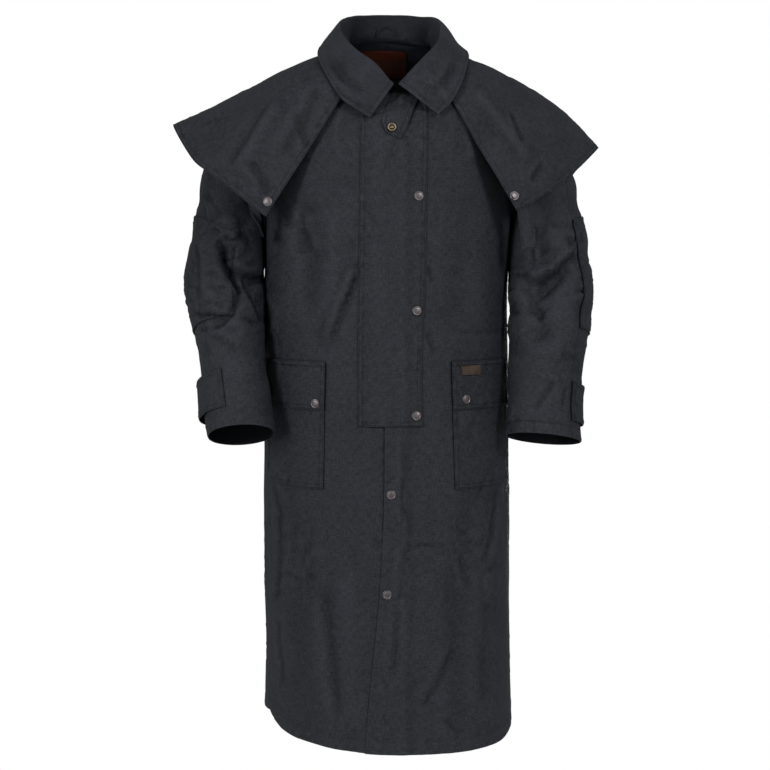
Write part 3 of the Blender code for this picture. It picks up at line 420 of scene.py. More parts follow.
BACK_CREASES = loose_creases(4, 34, (-0.20, 0.20), (-1.20, -0.30), 0.07)
SLEEVE_BACK_CREASES = {
    "left": loose_creases(8, 14, (0.25, 0.36), (-0.60, -0.30), 0.035),
    "right": loose_creases(9, 14, (0.25, 0.36), (-0.60, -0.30), 0.035),
}
# Between which values the front's folds take over: the cosine or sine of the turn for the body
# and the sleeve, the distance ahead of the middle for the cape and the collar
FRONT_BLENDS = {"body": (-0.15, 0.15), "sleeve": (-0.1, 0.3), "cape": (-0.03, 0.04), "collar": (0.0, 0.04)}
# How high a crease's lip stands beside it
CREASE_LIP = 2.0
# Sizes of the crumples' cells, and their heights as shares of the largest
WRINKLES = ((0.065, 1.0), (0.036, 0.55), (0.021, 0.3))
RIDGE_SHARPNESS = 0.10
CRUMPLE = 2.3 * MM
COLLAR_CRUMPLE = 0.8 * MM
CRUMPLE_SEEDS = {"body": 3, "sleeve": 7, "cape": 13, "collar": 29}
# Soft waves: their height, then for each surface their size and seed
SOFT_WAVES = 2.0 * MM
WAVES = {"body": (0.060, 11), "sleeve": (0.050, 17), "cape": (0.055, 19), "collar": (0.040, 31)}
CAPE_FLARES = 6.0 * MM
CAPE_FLARE_WAVES = (0.12, 23)
# Share along the sleeve of the elbow, and how far its crumples reach
ELBOW_SHARE = 0.52
ELBOW_REACH = 0.22

# Finishes of a cloth edge. Columns: rounding of the rim, width and rise of the turned hem, and
# the distances of its lines of stitches.
EDGES = {
    "seam": (0.6 * MM, 0.0, 0.0, ()),
    "felled": (0.6 * MM, 8.0 * MM, 0.5 * MM, (2.0 * MM, 8.0 * MM)),
    "front": (0.6 * MM, 32.0 * MM, 0.3 * MM, (32.0 * MM,)),
    "flap": (0.5 * MM, 8.0 * MM, 0.5 * MM, (2.0 * MM, 7.5 * MM)),
    "patch": (0.5 * MM, 5.0 * MM, 0.4 * MM, (2.0 * MM,)),
    "hem": (0.5 * MM, 25.0 * MM, 0.5 * MM, (24.0 * MM,)),
    "cuff": (0.5 * MM, 22.0 * MM, 0.6 * MM, (21.0 * MM,)),
    "cape": (0.5 * MM, 9.0 * MM, 0.6 * MM, (2.0 * MM, 9.0 * MM)),
    "collar": (0.5 * MM, 8.0 * MM, 0.6 * MM, (8.0 * MM,)),
    "strap": (0.4 * MM, 0.0, 0.0, (2.5 * MM,)),
    "leather": (0.4 * MM, 0.0, 0.0, (2.0 * MM,)),
}
ALL_ROUND = ("low", "high", "start", "end")
# Distances of the closer grid lines from a piece's edge
NEAR_EDGE = (0.0, 0.0008, 0.0020, 0.0035, 0.0050, 0.0065, 0.0080, 0.0105)
# Lines of stitches: depth and width of the groove, then height, reach and size of the puckers
GROOVE = 0.45 * MM
GROOVE_WIDTH = 1.1 * MM
PUCKER = 0.9 * MM
PUCKER_REACH = 7.0 * MM
PUCKER_WAVES = (11.0 * MM, 41)
# How light the cloth's colour is, as wear and painted shade: in the middle; lighter on a ridge and darker
# in a valley, partly wax wear and partly painted shade and light; lighter along an edge, where the wax
# wears away; darker beside stitches and on the inner face, as painted shade
WEAR_AND_SHADE = {"flat": 0.5, "ridge": 0.13, "edge": 0.12, "stitches": 0.25, "inside": -0.3}
RIDGE_HEIGHT = 0.8 * MM
RIDGE_LIMIT = 1.6
RIDGE_REACH = 3
EDGE_WIDTH = 1.6 * MM
# Reach of the painted shade beside each line of stitches
STITCH_SHADE_REACH = 1.4 * MM
# Painted shade on the upper sleeves under the cape: how much darker each is, and between which shares that
# ends
SLEEVE_SHADE = {"right": -0.35, "left": 0.0}
SLEEVE_SHADE_ENDS = (0.45, 0.70)
# Painted shade, the same, on the collar's stand inside the neck and on the hanger loop
STAND_SHADE = -0.45
STAND_SHADE_ENDS = (0.75, 1.05)
LOOP_SHADE = -0.6
SLUB_THICK = 2.0 * MM
SLUB_LONG = 11.0 * MM
THREAD_RADIUS = 0.35 * MM
# Half of a stitch as a share of the stitch length, its rise as a share of the thread's radius,
# and the faces on its six points
STITCH_SHARE = 0.42
STITCH_RISE = 0.35
STITCH_FACES = ((0, 2, 1), (0, 3, 2), (0, 4, 3), (0, 1, 4), (5, 1, 2), (5, 2, 3), (5, 3, 4), (5, 4, 1))

# Rough width and length of each piece as it hangs, for the spacing of its grid lines
HANGING = {
    "front": (0.30, 1.38),
    "back": (0.32, 1.38),
    "cape": (1.25, 0.40),
    "collar": (0.62, 0.19),
    "storm_flap": (0.116, 0.76),
    "throat_tab": (0.048, 0.078),
    "keeper_strap": (2 * STRAP_HALF_WIDTH, 0.11),
}
POCKET_WIDTH = 0.17
LABEL_STEP = 4.0 * MM
BADGE_STEP = 3.0 * MM

# Sizes of the materials' patterns. Clouds, stains and specks of wax: size, and weight.
WAX_MARKS = ((90.9 * MM, 0.30), (15.38 * MM, 0.35), (3.03 * MM, 0.42))
CREASE_SPACING = 66.7 * MM
CREASE_PATCHES = 111.0 * MM
CREASE_SHARPNESS = 3.0
# Reach of the painted shade that ambient occlusion puts in creases and where layers meet
PAINTED_SHADE_REACH = 12.0 * MM
WEAVE_DEPTH = 0.3 * MM
FIBRES = 1.11 * MM
TARNISH = 3.846 * MM
LEATHER_STAINS = 14.3 * MM
LEATHER_PEBBLES = 1.43 * MM
PEBBLE_DEPTH = 0.4 * MM

# Each cloth piece's cut. Columns: width, length, area.
FLATS = {
    "front": (0.400, 1.400, 0.405),
    "back": (0.400, 1.400, 0.428),
    "sleeve_front": (0.190, 0.700, 0.097),
    "sleeve_back": (0.360, 0.700, 0.201),
    "elbow_patch": (0.240, 0.240, 0.055),
    "cuff_tab": (0.200, 0.078, 0.014),
    "cape": (1.250, 0.480, 0.460),
    "collar": (0.620, 0.190, 0.095),
    "storm_flap": (0.122, 0.760, 0.080),
    "throat_tab": (0.050, 0.078, 0.0037),
    "pocket": (0.165, 0.232, 0.037),
    "pocket_flap": (0.165, 0.088, 0.014),
    "keeper_strap": (0.027, 0.160, 0.0042),
    "hanger_loop": (0.012, 0.060, 0.0004),
}

# Sleeves: turns and shares of the seam, of the elbow patches and of the cuff tabs
SLEEVE_SEAM = 0.8185
SLEEVE_RADIUS = 0.07
PATCH_TURNS = {"right": (-0.818, 1.841), "left": (-1.841, 0.818)}
PATCH_SHARES = (0.415, 0.690)
CUFF_TAB_TURNS = {"right": (-1.445, 1.271), "left": (-1.900, 0.816)}
CUFF_TAB_SHARES = (0.833, 0.944)
# How far the neck label lies to the wearer's right of the middle
LABEL_ASIDE = 0.008
LABEL_TILT = 0.09
# How far the cuff tabs stand off the sleeve, and the middle and width of that bell, as turns
TAB_STANDS_OFF = {"right": 0.009, "left": 0.004}
TAB_BELL_MIDDLE = -0.2
TAB_BELL_WIDTH = 0.55

# Snap cap and throat button: pairs of radius, as a share of the whole, and height in millimetres
ROUND_SIDES = 48
SNAP_PROFILE = (
    (0.93, 0.0), (1.0, 0.5), (1.0, 1.3), (0.95, 1.8), (0.86, 1.95), (0.78, 1.85), (0.73, 1.5),
    (0.68, 1.45), (0.62, 1.75), (0.40, 1.95), (0.20, 2.05), (0.05, 2.05),
)
BUTTON_RIM = (
    (0.94, 0.0), (1.0, 0.6), (1.0, 2.2), (0.94, 3.2), (0.82, 3.6), (0.70, 3.3), (0.60, 2.2),
    (0.54, 1.3), (0.30, 1.2), (0.05, 1.2),
)
BUTTON_RING = ((0.56, 1.0), (0.56, 1.6), (0.10, 1.6))
BUTTON_STUD = ((0.34, 1.5), (0.34, 2.5), (0.26, 2.8), (0.08, 2.8))

# Studio. Lights: name, place, size, share of the front light's power.
STUDIO_AIM = (0.0, 0.0, -0.5)
FLOOR_SIDES = 96
STUDIO_LIGHTS = (
    ("key_left", (-2.5, -2.9, 0.7), (0.9, 1.2), 1.2),
    ("key_right", (2.1, -3.1, 1.2), (0.8, 1.1), 1.1),
    ("back_fill", (0.5, 3.4, -0.9), (1.6, 1.4), 1.5),
)
CAMERA_PLACE = (-0.0055, -3.1, -0.336)
CAMERA_PITCH = 5.25
SENSOR_WIDTH = 36.0
# Pixels across the photograph, and pixels that a metre spans at one metre from the camera
PHOTO_WIDTH = 770
PIXELS_AT_ONE_METRE = 1632
CAMERA_LENS = SENSOR_WIDTH * PIXELS_AT_ONE_METRE / PHOTO_WIDTH


def srgb(hex_colour):
    """An sRGB hex colour as linear red, green and blue."""
    parts = [int(hex_colour[at:at + 2], 16) / 255 for at in (1, 3, 5)]
    return tuple(part / 12.92 if part <= 0.04045 else ((part + 0.055) / 1.055) ** 2.4 for part in parts)


class CLOTH_PG_settings(bpy.types.PropertyGroup):
    """The waxed cotton and its folds."""

    # The dark colour also serves as painted shade: in valleys, beside stitches, on inner faces, on the
    # upper right sleeve, inside the collar's stand and on the hanger loop
    dark: FloatVectorProperty(
        name="Wax in the folds", description="Colour where the wax lies thick",
        subtype="COLOR", min=0.0, max=1.0, default=srgb("#1F222A"),
    )
    # The light colour also serves as painted light on ridges
    light: FloatVectorProperty(
        name="Rubbed wax", description="Colour on ridges and edges, where the wax is rubbed",
        subtype="COLOR", min=0.0, max=1.0, default=srgb("#4A4D55"),
    )
    roughness: FloatProperty(
        name="Roughness", description="How dull the waxed surface is",
        min=0.0, max=1.0, subtype="FACTOR", default=0.62,
    )
    thread_pitch: FloatProperty(
        name="Thread pitch", description="Distance between drawn threads, coarser than the real ones",
        min=0.0005, max=0.01, unit="LENGTH", default=0.0018,
    )
    slubs: FloatProperty(
        name="Slubs", description="How strongly thick threads fleck the cloth",
        min=0.0, max=4.0, default=1.15,
    )
    small_creases: FloatProperty(
        name="Small creases", description="Height of the small sharp creases",
        min=0.0, max=0.01, unit="LENGTH", precision=4, default=0.006,
    )
    crease: FloatProperty(
        name="Crease depth", description="Multiplies the fine creases", min=0.0, max=2.0, default=1.0,
    )
    step: FloatProperty(
        name="Grid step", description="Distance between the lines of a cloth grid",
        min=0.003, max=0.02, unit="LENGTH", default=0.0050,
    )


class TRIM_PG_settings(bpy.types.PropertyGroup):
    """Thread, snaps and leather."""

    thread: FloatVectorProperty(
        name="Thread", description="Colour of the sewing thread",
        subtype="COLOR", min=0.0, max=1.0, default=srgb("#1D1E22"),
    )
    stitch_length: FloatProperty(
        name="Stitch length", description="From one stitch to the next",
        min=0.002, max=0.01, unit="LENGTH", default=0.0040,
    )
    copper: FloatVectorProperty(
        name="Copper", description="Colour of the snaps' antique copper",
        subtype="COLOR", min=0.0, max=1.0, default=srgb("#9C9496"),
    )
    brass: FloatVectorProperty(
        name="Brass", description="Colour of the throat button's rim",
        subtype="COLOR", min=0.0, max=1.0, default=srgb("#CDBE9E"),
    )
    neck_leather: FloatVectorProperty(
        name="Neck leather", description="Colour of the leather inside the neck",
        subtype="COLOR", min=0.0, max=1.0, default=srgb("#521D09"),
    )
    badge_leather: FloatVectorProperty(
        name="Badge leather", description="Colour of the leather on the pocket flap",
        subtype="COLOR", min=0.0, max=1.0, default=srgb("#5E4B40"),
    )
    snap_radius: FloatProperty(
        name="Snap radius", description="Radius of a snap's cap",
        min=0.004, max=0.02, unit="LENGTH", default=0.0085,
    )


class STUDIO_PG_settings(bpy.types.PropertyGroup):
    """Floor, lights and camera."""

    floor_drop: FloatProperty(
        name="Floor below the hem", description="Height of the hem above the floor",
        min=0.05, max=2.0, unit="LENGTH", default=0.45,
    )
    floor_radius: FloatProperty(
        name="Floor radius", description="Radius of the round floor",
        min=0.5, max=20.0, unit="LENGTH", default=1.0,
    )
    floor_glow: FloatProperty(
        name="Floor glow", description="Light that the camera sees added to the floor, to keep it pale",
        min=0.0, max=1.0, default=0.45,
    )
    key: FloatProperty(
        name="Front light", description="Power of each of the two large front lights",
        min=0.0, max=2000.0, default=31.0,
    )
    sky: FloatProperty(
        name="Surrounding light", description="Strength of the white surroundings",
        min=0.0, max=4.0, default=0.20,
    )


def ease(value, low, high):
    """A smooth step from 0 at low to 1 at high."""
    share = np.clip((value - low) / (high - low), 0.0, 1.0)
    return share * share * (3.0 - 2.0 * share)


def read_table(rows, at):
    """Every column of a table at the given values of its first one, along natural cubic splines:
    cubics between the rows, with one slope and one curvature at each row."""
    table = np.array(rows, float)
    knots = table[:, 0]
    values = table[:, 1:]
    gaps = np.diff(knots)
    inner = np.arange(1, len(knots) - 1)
    matrix = np.eye(len(knots))
    matrix[inner, inner - 1] = gaps[:-1]
    matrix[inner, inner] = 2 * (gaps[:-1] + gaps[1:])
    matrix[inner, inner + 1] = gaps[1:]
    bends = np.zeros_like(values)
    bends[1:-1] = 6 * np.diff(np.diff(values, axis=0) / gaps[:, None], axis=0)
    bends = np.linalg.solve(matrix, bends)
    at = np.asarray(at, float)
    low = np.clip(np.searchsorted(knots, at) - 1, 0, len(knots) - 2)
    gap = gaps[low][..., None]
    share = (at - knots[low])[..., None] / gap
    rest = 1 - share
    curve = (rest**3 - rest) * bends[low] + (share**3 - share) * bends[low + 1]
    found = rest * values[low] + share * values[low + 1] + curve * gap**2 / 6
    return [found[..., column] for column in range(values.shape[1])]


def numbered(rows):
    """A table's rows with their numbers as a first column."""
    return [(number, *row) for number, row in enumerate(rows)]


def finer(coarse, row_at, column_at):
    """A coarse grid of points read at finer places: smooth curves along both of its directions,
    weighted by the same smooth curves read from a table of ones."""
    down = np.stack(read_table(np.column_stack([np.arange(len(coarse)), np.eye(len(coarse))]), row_at), -1)
    width = coarse.shape[1]
    over = np.stack(read_table(np.column_stack([np.arange(width), np.eye(width)]), column_at), -1)
    return np.einsum("ri,ijk,cj->rck", down, coarse, over)


def unit(vectors):
    """Vectors divided by their lengths."""
    return vectors / np.linalg.norm(vectors, axis=-1, keepdims=True)


def normals(surface, first, second, facing=1.0):
    """Unit normals of surface(first, second), from the differences on each side of a point."""
    along_first = surface(first + TINY, second) - surface(first - TINY, second)
    along_second = surface(first, second + TINY) - surface(first, second - TINY)
    return facing * unit(np.cross(along_first, along_second))


def noise(points, cell, seed):
    """Random heights from -1 to 1 at the corners of cubes of side cell, eased between them. A
    corner's height comes from its three numbers and the seed, mixed by large odd factors."""
    scaled = points / cell + seed * 7.31
    base = np.floor(scaled).astype(np.int64)
    share = scaled - base
    share = share**3 * (share * (share * 6 - 15) + 10)
    total = np.zeros(points.shape[:-1])
    for corner in np.ndindex(2, 2, 2):
        spot = base + corner
        code = np.sum(spot * HASH_FACTORS, axis=-1) + seed * 69621
        code = ((code ^ (code >> 13)) * 1274126177) & 0xFFFFFFFF
        value = ((code ^ (code >> 15)) & 0xFFFF) / 32767.5 - 1.0
        weight = np.prod(np.where(corner, share, 1 - share), axis=-1)
        total += weight * value
    return total


def crumple(points, cell, seed):
    """Sharp little ridges and valleys of waxed cloth, in patches. Each runs where a noise n crosses
    zero: exp(-(n / sharpness)^2), on points shifted by a larger noise so that it wanders."""
    shifted = points + 0.35 * cell * noise(points, 1.7 * cell, seed + 5)[..., None]
    ridge = np.exp(-((noise(shifted, cell, seed) / RIDGE_SHARPNESS) ** 2))
    valley = np.exp(-((noise(shifted, 0.8 * cell, seed + 1) / RIDGE_SHARPNESS) ** 2))
    patch = ease(noise(points, 2.6 * cell, seed + 2), -0.2, 0.6)
    return (ridge - valley) * patch


def wrinkles(points, seed):
    """Crumples of three sizes, the smaller ones lower."""
    total = np.zeros(points.shape[:-1])
    for step, (cell, height) in enumerate(WRINKLES):
        total += height * crumple(points, cell, seed + 10 * step)
    return total


def creases(across, up, rows):
    """Height of all creases at (across, up). Each follows a line through its three points, with a
    lip along one side: for t = d / w across the line, h (1 - 2 t) / (1 + t^2)^1.5, faded out
    towards both ends."""
    height = np.zeros_like(across)
    for first_x, first_z, mid_x, mid_z, last_x, last_z, width, depth in rows:
        nearest = np.full(across.shape, np.inf)
        place = np.zeros_like(across)
        turn = np.ones_like(across)
        pieces = ((first_x, first_z, mid_x, mid_z), (mid_x, mid_z, last_x, last_z))
        for part, (from_x, from_z, to_x, to_z) in enumerate(pieces):
            run = to_x - from_x
            drop = to_z - from_z
            share = ((across - from_x) * run + (up - from_z) * drop) / (run**2 + drop**2)
            share = np.clip(share, 0.0, 1.0)
            apart = (across - from_x - share * run) ** 2 + (up - from_z - share * drop) ** 2
            beside = (across - from_x) * drop - (up - from_z) * run
            place = np.where(apart < nearest, (part + share) / 2, place)
            turn = np.where(apart < nearest, np.sign(beside), turn)
            nearest = np.minimum(apart, nearest)
        ends = ease(place, 0.0, 0.2) * (1 - ease(place, 0.8, 1.0))
        aside = turn * np.sqrt(nearest) / width
        height += depth * ends * (1 - CREASE_LIP * aside) / (1 + aside**2) ** 1.5
    return height


def folds(across, up, rows):
    """Height of the large folds: a bell across each fold's line, faded out past its ends."""
    height = np.zeros_like(across)
    for top_x, top_z, low_x, low_z, width, depth in rows:
        run = low_x - top_x
        drop = low_z - top_z
        length = math.hypot(run, drop)
        along = ((across - top_x) * run + (up - top_z) * drop) / length**2
        aside = ((across - top_x) * drop - (up - top_z) * run) / length
        ends = ease(along, -0.15, 0.15) * (1.0 - ease(along, 0.85, 1.15))
        height += depth * ends * np.exp(-((aside / width) ** 2))
    return height


def body_shift(level):
    """How far this level of the body lies to the wearer's left, eased from the shift to none."""
    return BODY_SHIFT * (1 - ease(level, *SHIFT_LEVELS))


def smooth_body(angle, level):
    """The body without folds: a rounded oval |x/a|^2.2 + |y/b|^2.2 = 1 at each level, its front
    leaned sideways and dropped with the square of the cosine."""
    side_z, half, front, back, centre_y, front_drop, back_drop, lean = read_table(BODY, level)
    sideways = np.sin(angle)
    forward = np.cos(angle)
    depth = np.where(forward > 0, front, back)
    drop = np.where(forward > 0, front_drop, back_drop)
    radius = (np.abs(sideways / half) ** ROUNDNESS + np.abs(forward / depth) ** ROUNDNESS) ** (
        -1 / ROUNDNESS
    )
    ahead = radius * forward
    x = radius * sideways + lean * np.maximum(ahead, 0.0) + body_shift(level)
    return np.stack([x, centre_y - ahead, side_z - drop * forward**2], axis=-1)


def body(angle, level):
    """Points of the body's outer face with folds and creases, and the normals they were moved along."""
    angle, level = np.broadcast_arrays(np.asarray(angle, float), np.asarray(level, float))
    points = smooth_body(angle, level)
    out = normals(smooth_body, angle, level)
    x = points[..., 0]
    z = points[..., 2]
    in_front = ease(np.cos(angle), *FRONT_BLENDS["body"])
    depth = bpy.context.scene.duster_cloth.crease
    front = folds(x, z, FRONT_FOLDS) + depth * creases(x, z, FRONT_CREASES)
    back = folds(x, z, BACK_FOLDS) + depth * creases(x, z, BACK_CREASES)
    low = 1 - ease(level, -0.75, -0.35)
    fine = CRUMPLE * (0.6 + 0.4 * low) * wrinkles(points * (1.0, 1.0, 0.8), CRUMPLE_SEEDS["body"])
    soft = SOFT_WAVES * noise(points * (1.0, 1.0, 0.45), *WAVES["body"])
    height = front * in_front + back * (1 - in_front) + depth * (fine + soft)
    return points + out * height[..., None], out


def front_angle(x, level):
    """The angle at which the front of the body has this X, its lean and shift taken off first."""
    _, half, depth, _, _, _, _, lean = read_table(BODY, level)
    x = x - body_shift(level)
    straight = x + 0.0 * half
    for _ in range(LEAN_STEPS):
        share = np.clip(np.abs(straight / half), 0.0, 0.999)
        ahead = depth * (1 - share**ROUNDNESS) ** (1 / ROUNDNESS)
        straight = x - lean * ahead
    return np.arctan2(straight, ahead)


def front_place(x, z):
    """Angle and level of the front at this X and height: Newton's steps on the height."""
    x, z = np.broadcast_arrays(np.asarray(x, float), np.asarray(z, float))
    level = np.where(z > ARMPIT, z + FRONT_DROP, z)
    for _ in range(NEWTON_STEPS):
        here = smooth_body(front_angle(x, level), level)[..., 2]
        above = smooth_body(front_angle(x, level + TINY), level + TINY)[..., 2]
        level = np.clip(level - (here - z) * TINY / (above - here), HEM, NECK)
    return front_angle(x, level), level


def side_angle(level, direction):
    """The side seam, one edge of the armhole (direction -1 in front, +1 behind), then the shoulder."""
    share = np.clip((level - ARMPIT) / (SHOULDER_TIP - ARMPIT), 0.0, 1.0)
    seam = SIDE_SEAM + (SHOULDER_SEAM - SIDE_SEAM) * ease(level, SIDE_SEAM_TURNS, ARMPIT)
    return seam + direction * ARMHOLE_REACH * np.sin(math.pi * share) ** ARMHOLE_ROUNDNESS


def seam_turn(level):
    """Half a seam's gap, as an angle round the body at this level."""
    return 0.5 * SEAM_GAP / read_table(BODY, level)[1]


def armhole(turn, side):
    """The armhole's edge as the sleeve meets it: turn 0 at the top, pi / 2 in front."""
    share = (1 + np.cos(turn)) / 2
    level = ARMPIT + (SHOULDER_TIP - ARMPIT) * share
    direction = np.where(np.sin(turn) >= 0, -1, 1)
    inset = 4 * seam_turn(level) * np.abs(np.sin(turn))
    angle = side_angle(level, direction) - direction * inset
    level = level - 2 * SEAM_GAP * np.cos(turn)
    return smooth_body(SIGNS[side] * angle, level)


def smooth_sleeve(turn, share, side):
    """The sleeve without creases: ovals along the arm that start as the armhole's own edge."""
    rows = SLEEVES[side]
    found = read_table(numbered(rows), share * (len(rows) - 1))
    inner_x, inner_z, outer_x, outer_z, centre_y, depth, tilt = found
    tilt = np.radians(tilt)
    across = np.cos(turn)
    ahead = np.sin(turn)
    x = (inner_x + outer_x) / 2 + (outer_x - inner_x) / 2 * across
    z = (inner_z + outer_z) / 2 + (outer_z - inner_z) / 2 * across + depth * np.sin(tilt) * ahead
    y = centre_y - depth * np.cos(tilt) * ahead
    oval = np.stack([SIGNS[side] * x, y, z], axis=-1)
    blend = ease(share, 0.0, CAP_BLEND)[..., None]
    return armhole(turn, side) * (1 - blend) + oval * blend


def sleeve(turn, share, side):
    """Points of the sleeve's outer face with its creases, and the normals they were moved along."""
    turn, share = np.broadcast_arrays(np.asarray(turn, float), np.asarray(share, float))
    points = smooth_sleeve(turn, share, side)
    safe = np.clip(share, 0.5 * CAP_BLEND, 1 - TINY)
    out = normals(lambda first, second: smooth_sleeve(first, second, side), turn, safe, SIGNS[side])
    x = np.abs(points[..., 0])
    z = points[..., 2]
    in_front = ease(np.sin(turn), *FRONT_BLENDS["sleeve"])
    depth = bpy.context.scene.duster_cloth.crease
    front = folds(x, z, SLEEVE_FOLDS[side]) + depth * creases(x, z, SLEEVE_CREASES[side])
    back = depth * creases(x, z, SLEEVE_BACK_CREASES[side])
    bend = np.exp(-(((share - ELBOW_SHARE) / ELBOW_REACH) ** 2))
    fine = CRUMPLE * (0.6 + 1.2 * bend) * wrinkles(points * (1.0, 1.0, 1.4), CRUMPLE_SEEDS["sleeve"])
    soft = SOFT_WAVES * (1 + bend) * noise(points * (0.8, 0.8, 1.5), *WAVES["sleeve"])
    height = front * in_front + back * (1 - in_front) + depth * (fine + soft)
    height = height * ease(share, 0.0, 0.08)
    return points + out * height[..., None], out


def resting(points, support, facing, gap):
    """A coarse grid of cloth kept this gap above a support: each point's lack of height over the
    nearest point of the support is spread to its neighbours, then taken out along the cloth's
    own normals, so that the cloth stays smooth."""
    gaps = np.broadcast_to(gap, points.shape[:-1]).reshape(-1)
    for _ in range(RESTING_ROUNDS):
        flat = points.reshape(-1, 3)
        out = grid_normals(points)
        lack = np.zeros(len(flat))
        for some in np.array_split(np.arange(len(flat)), len(flat) // RESTING_BATCH + 1):
            apart = np.sum((flat[some, None] - support[None]) ** 2, axis=-1)
            nearest = np.argmin(apart, axis=1)
            height = np.sum((flat[some] - support[nearest]) * facing[nearest], axis=-1)
            agree = np.sum(out.reshape(-1, 3)[some] * facing[nearest], axis=-1)
            lack[some] = np.maximum(gaps[some] - height, 0.0) / np.maximum(agree, LEAST_AGREEMENT)
        lack = lack.reshape(points.shape[:-1])
        padded = np.pad(lack, 1, mode="edge")
        rows, columns = lack.shape
        around = [padded[row:row + rows, column:column + columns] for row, column in np.ndindex(3, 3)]
        points = points + out * blurred(np.max(around, axis=0), 1)[..., None]
    return points


def free_cape(rib, share):
    """The cape as it leaves the neck: rib counts the table's rows, share runs from neck to hem,
    neck (1 - s) + hem s + bow 4 s (1 - s)."""
    angle, hem_x, hem_y, hem_z, bow_x, bow_y, bow_z = read_table(numbered(CAPE), rib)
    angle = np.radians(angle)
    level = np.full_like(angle, CAPE_NECK_LEVEL)
    neck = smooth_body(angle, level) + (CLOTH + CAPE_NECK_GAP) * normals(smooth_body, angle, level)
    hem = np.stack([hem_x, hem_y, hem_z], axis=-1)
    bow = np.stack([bow_x, bow_y, bow_z], axis=-1)
    share = np.asarray(share, float)[..., None]
    return neck * (1 - share) + hem * share + bow * 4 * share * (1 - share)


def shoulders():
    """Points and normals of the body's upper part and of both sleeves' heads."""
    angles = np.linspace(-math.pi, math.pi, BODY_SUPPORT[0])
    levels = np.linspace(SUPPORT_BOTTOM, NECK, BODY_SUPPORT[1])
    angle, level = np.meshgrid(angles, levels)
    points = [smooth_body(angle, level).reshape(-1, 3)]
    out = [normals(smooth_body, angle, level).reshape(-1, 3)]
    turns = np.linspace(0, 2 * math.pi, SLEEVE_SUPPORT[0])
    turn, share = np.meshgrid(turns, np.linspace(*SUPPORT_SHARES, SLEEVE_SUPPORT[1]))
    for side in SIDES:
        points.append(smooth_sleeve(turn, share, side).reshape(-1, 3))
        found = normals(lambda first, second: smooth_sleeve(first, second, side), turn, share, SIGNS[side])
        out.append(found.reshape(-1, 3))
    return np.concatenate(points), np.concatenate(out)


def resting_cape():
    """A coarse grid of the cape laid on the shoulders, four points to each rib of the table."""
    ribs = np.linspace(0, len(CAPE) - 1, POINTS_PER_RIB * (len(CAPE) - 1) + 1)
    rib, share = np.meshgrid(ribs, np.linspace(0, 1, CAPE_ROWS))
    gap = CLOTH + CAPE_NECK_REST + (CAPE_REST - CAPE_NECK_REST) * ease(share, 0.0, 0.15)
    return resting(free_cape(rib, share), *shoulders(), gap)


def cape(coarse, rib, share):
    """Points and normals of the cape at these ribs and shares, two rows of numbers, with creases."""
    rib_at = rib * (coarse.shape[1] - 1) / (len(CAPE) - 1)
    share_at = share * (len(coarse) - 1)
    points = finer(coarse, share_at, rib_at)
    out = grid_normals(points)
    x = points[..., 0]
    z = points[..., 2]
    in_front = ease(-points[..., 1], *FRONT_BLENDS["cape"])
    depth = bpy.context.scene.duster_cloth.crease
    front = creases(x, z, CAPE_CREASES)
    flare = np.stack(np.broadcast_arrays(rib[None] * 0.11, share[:, None] * 0.05, 0.0), axis=-1)
    back = CAPE_FLARES * ease(share, 0.1, 1.0)[:, None] * noise(flare, *CAPE_FLARE_WAVES)
    fine = CRUMPLE * 0.7 * wrinkles(points, CRUMPLE_SEEDS["cape"])
    soft = SOFT_WAVES * noise(points, *WAVES["cape"])
    height = front * in_front + back * (1 - in_front) + depth * (fine + soft)
    height = height * ease(share, 0.0, 0.12)[:, None]
    return points + out * height[..., None], out


def bezier(start, leave, arrive, end, share):
    """A cubic Bezier curve: r^3 start + 3 r^2 s leave + 3 r s^2 arrive + s^3 end, with r = 1 - s."""
    share = share[..., None]
    rest = 1 - share
    return rest**3 * start + 3 * rest**2 * share * leave + 3 * rest * share**2 * arrive + share**3 * end


def free_collar(rib, share):
    """The collar's visible face before it rests: up the inside of the stand for share 0 to 1,
    over the roll, and down the fall for share 1 to 2, each a cubic Bezier curve."""
    angle, roll_x, roll_y, roll_z, edge_x, edge_y, edge_z = read_table(numbered(COLLAR), rib)
    angle = np.radians(angle)
    level = np.full_like(angle, NECK)
    uphill = unit(smooth_body(angle, level) - smooth_body(angle, level - 0.002))
    out = normals(smooth_body, angle, level)
    seam = smooth_body(angle, level) - out * CLOTH + uphill * COLLAR_GAP
    roll = np.stack([roll_x, roll_y, roll_z], axis=-1)
    edge = np.stack([edge_x, edge_y, edge_z], axis=-1)
    outward = unit(out * (1.0, 1.0, 0.0)) * ROLL_RADIUS
    height = np.linalg.norm(roll - seam, axis=-1, keepdims=True)
    down = (roll - edge) * 0.4 + outward * 0.5
    stand = bezier(seam, seam + uphill * height * 0.35, roll - outward, roll, np.clip(share, 0, 1))
    fall = bezier(roll, roll + outward, edge + down, edge, np.clip(share - 1, 0, 1))
    return np.where((share < 1)[..., None], stand, fall)


def resting_collar(cape_grid):
    """A coarse grid of the collar, its fall laid on the cape."""
    ribs = np.linspace(0, len(COLLAR) - 1, POINTS_PER_RIB * (len(COLLAR) - 1) + 1)
    rib, share = np.meshgrid(ribs, np.linspace(0, 2, COLLAR_ROWS))
    points = free_collar(rib, share)
    down = np.linspace(0, UNDER_COLLAR, CAPE_SUPPORT[1]) * (len(cape_grid) - 1)
    over = np.linspace(0, cape_grid.shape[1] - 1, CAPE_SUPPORT[0])
    top = finer(cape_grid, down, over)
    facing = grid_normals(top).reshape(-1, 3)
    gap = np.where(share > FALL_RESTS, CLOTH + COLLAR_REST, NO_REST)
    return resting(points, top.reshape(-1, 3), facing, gap)


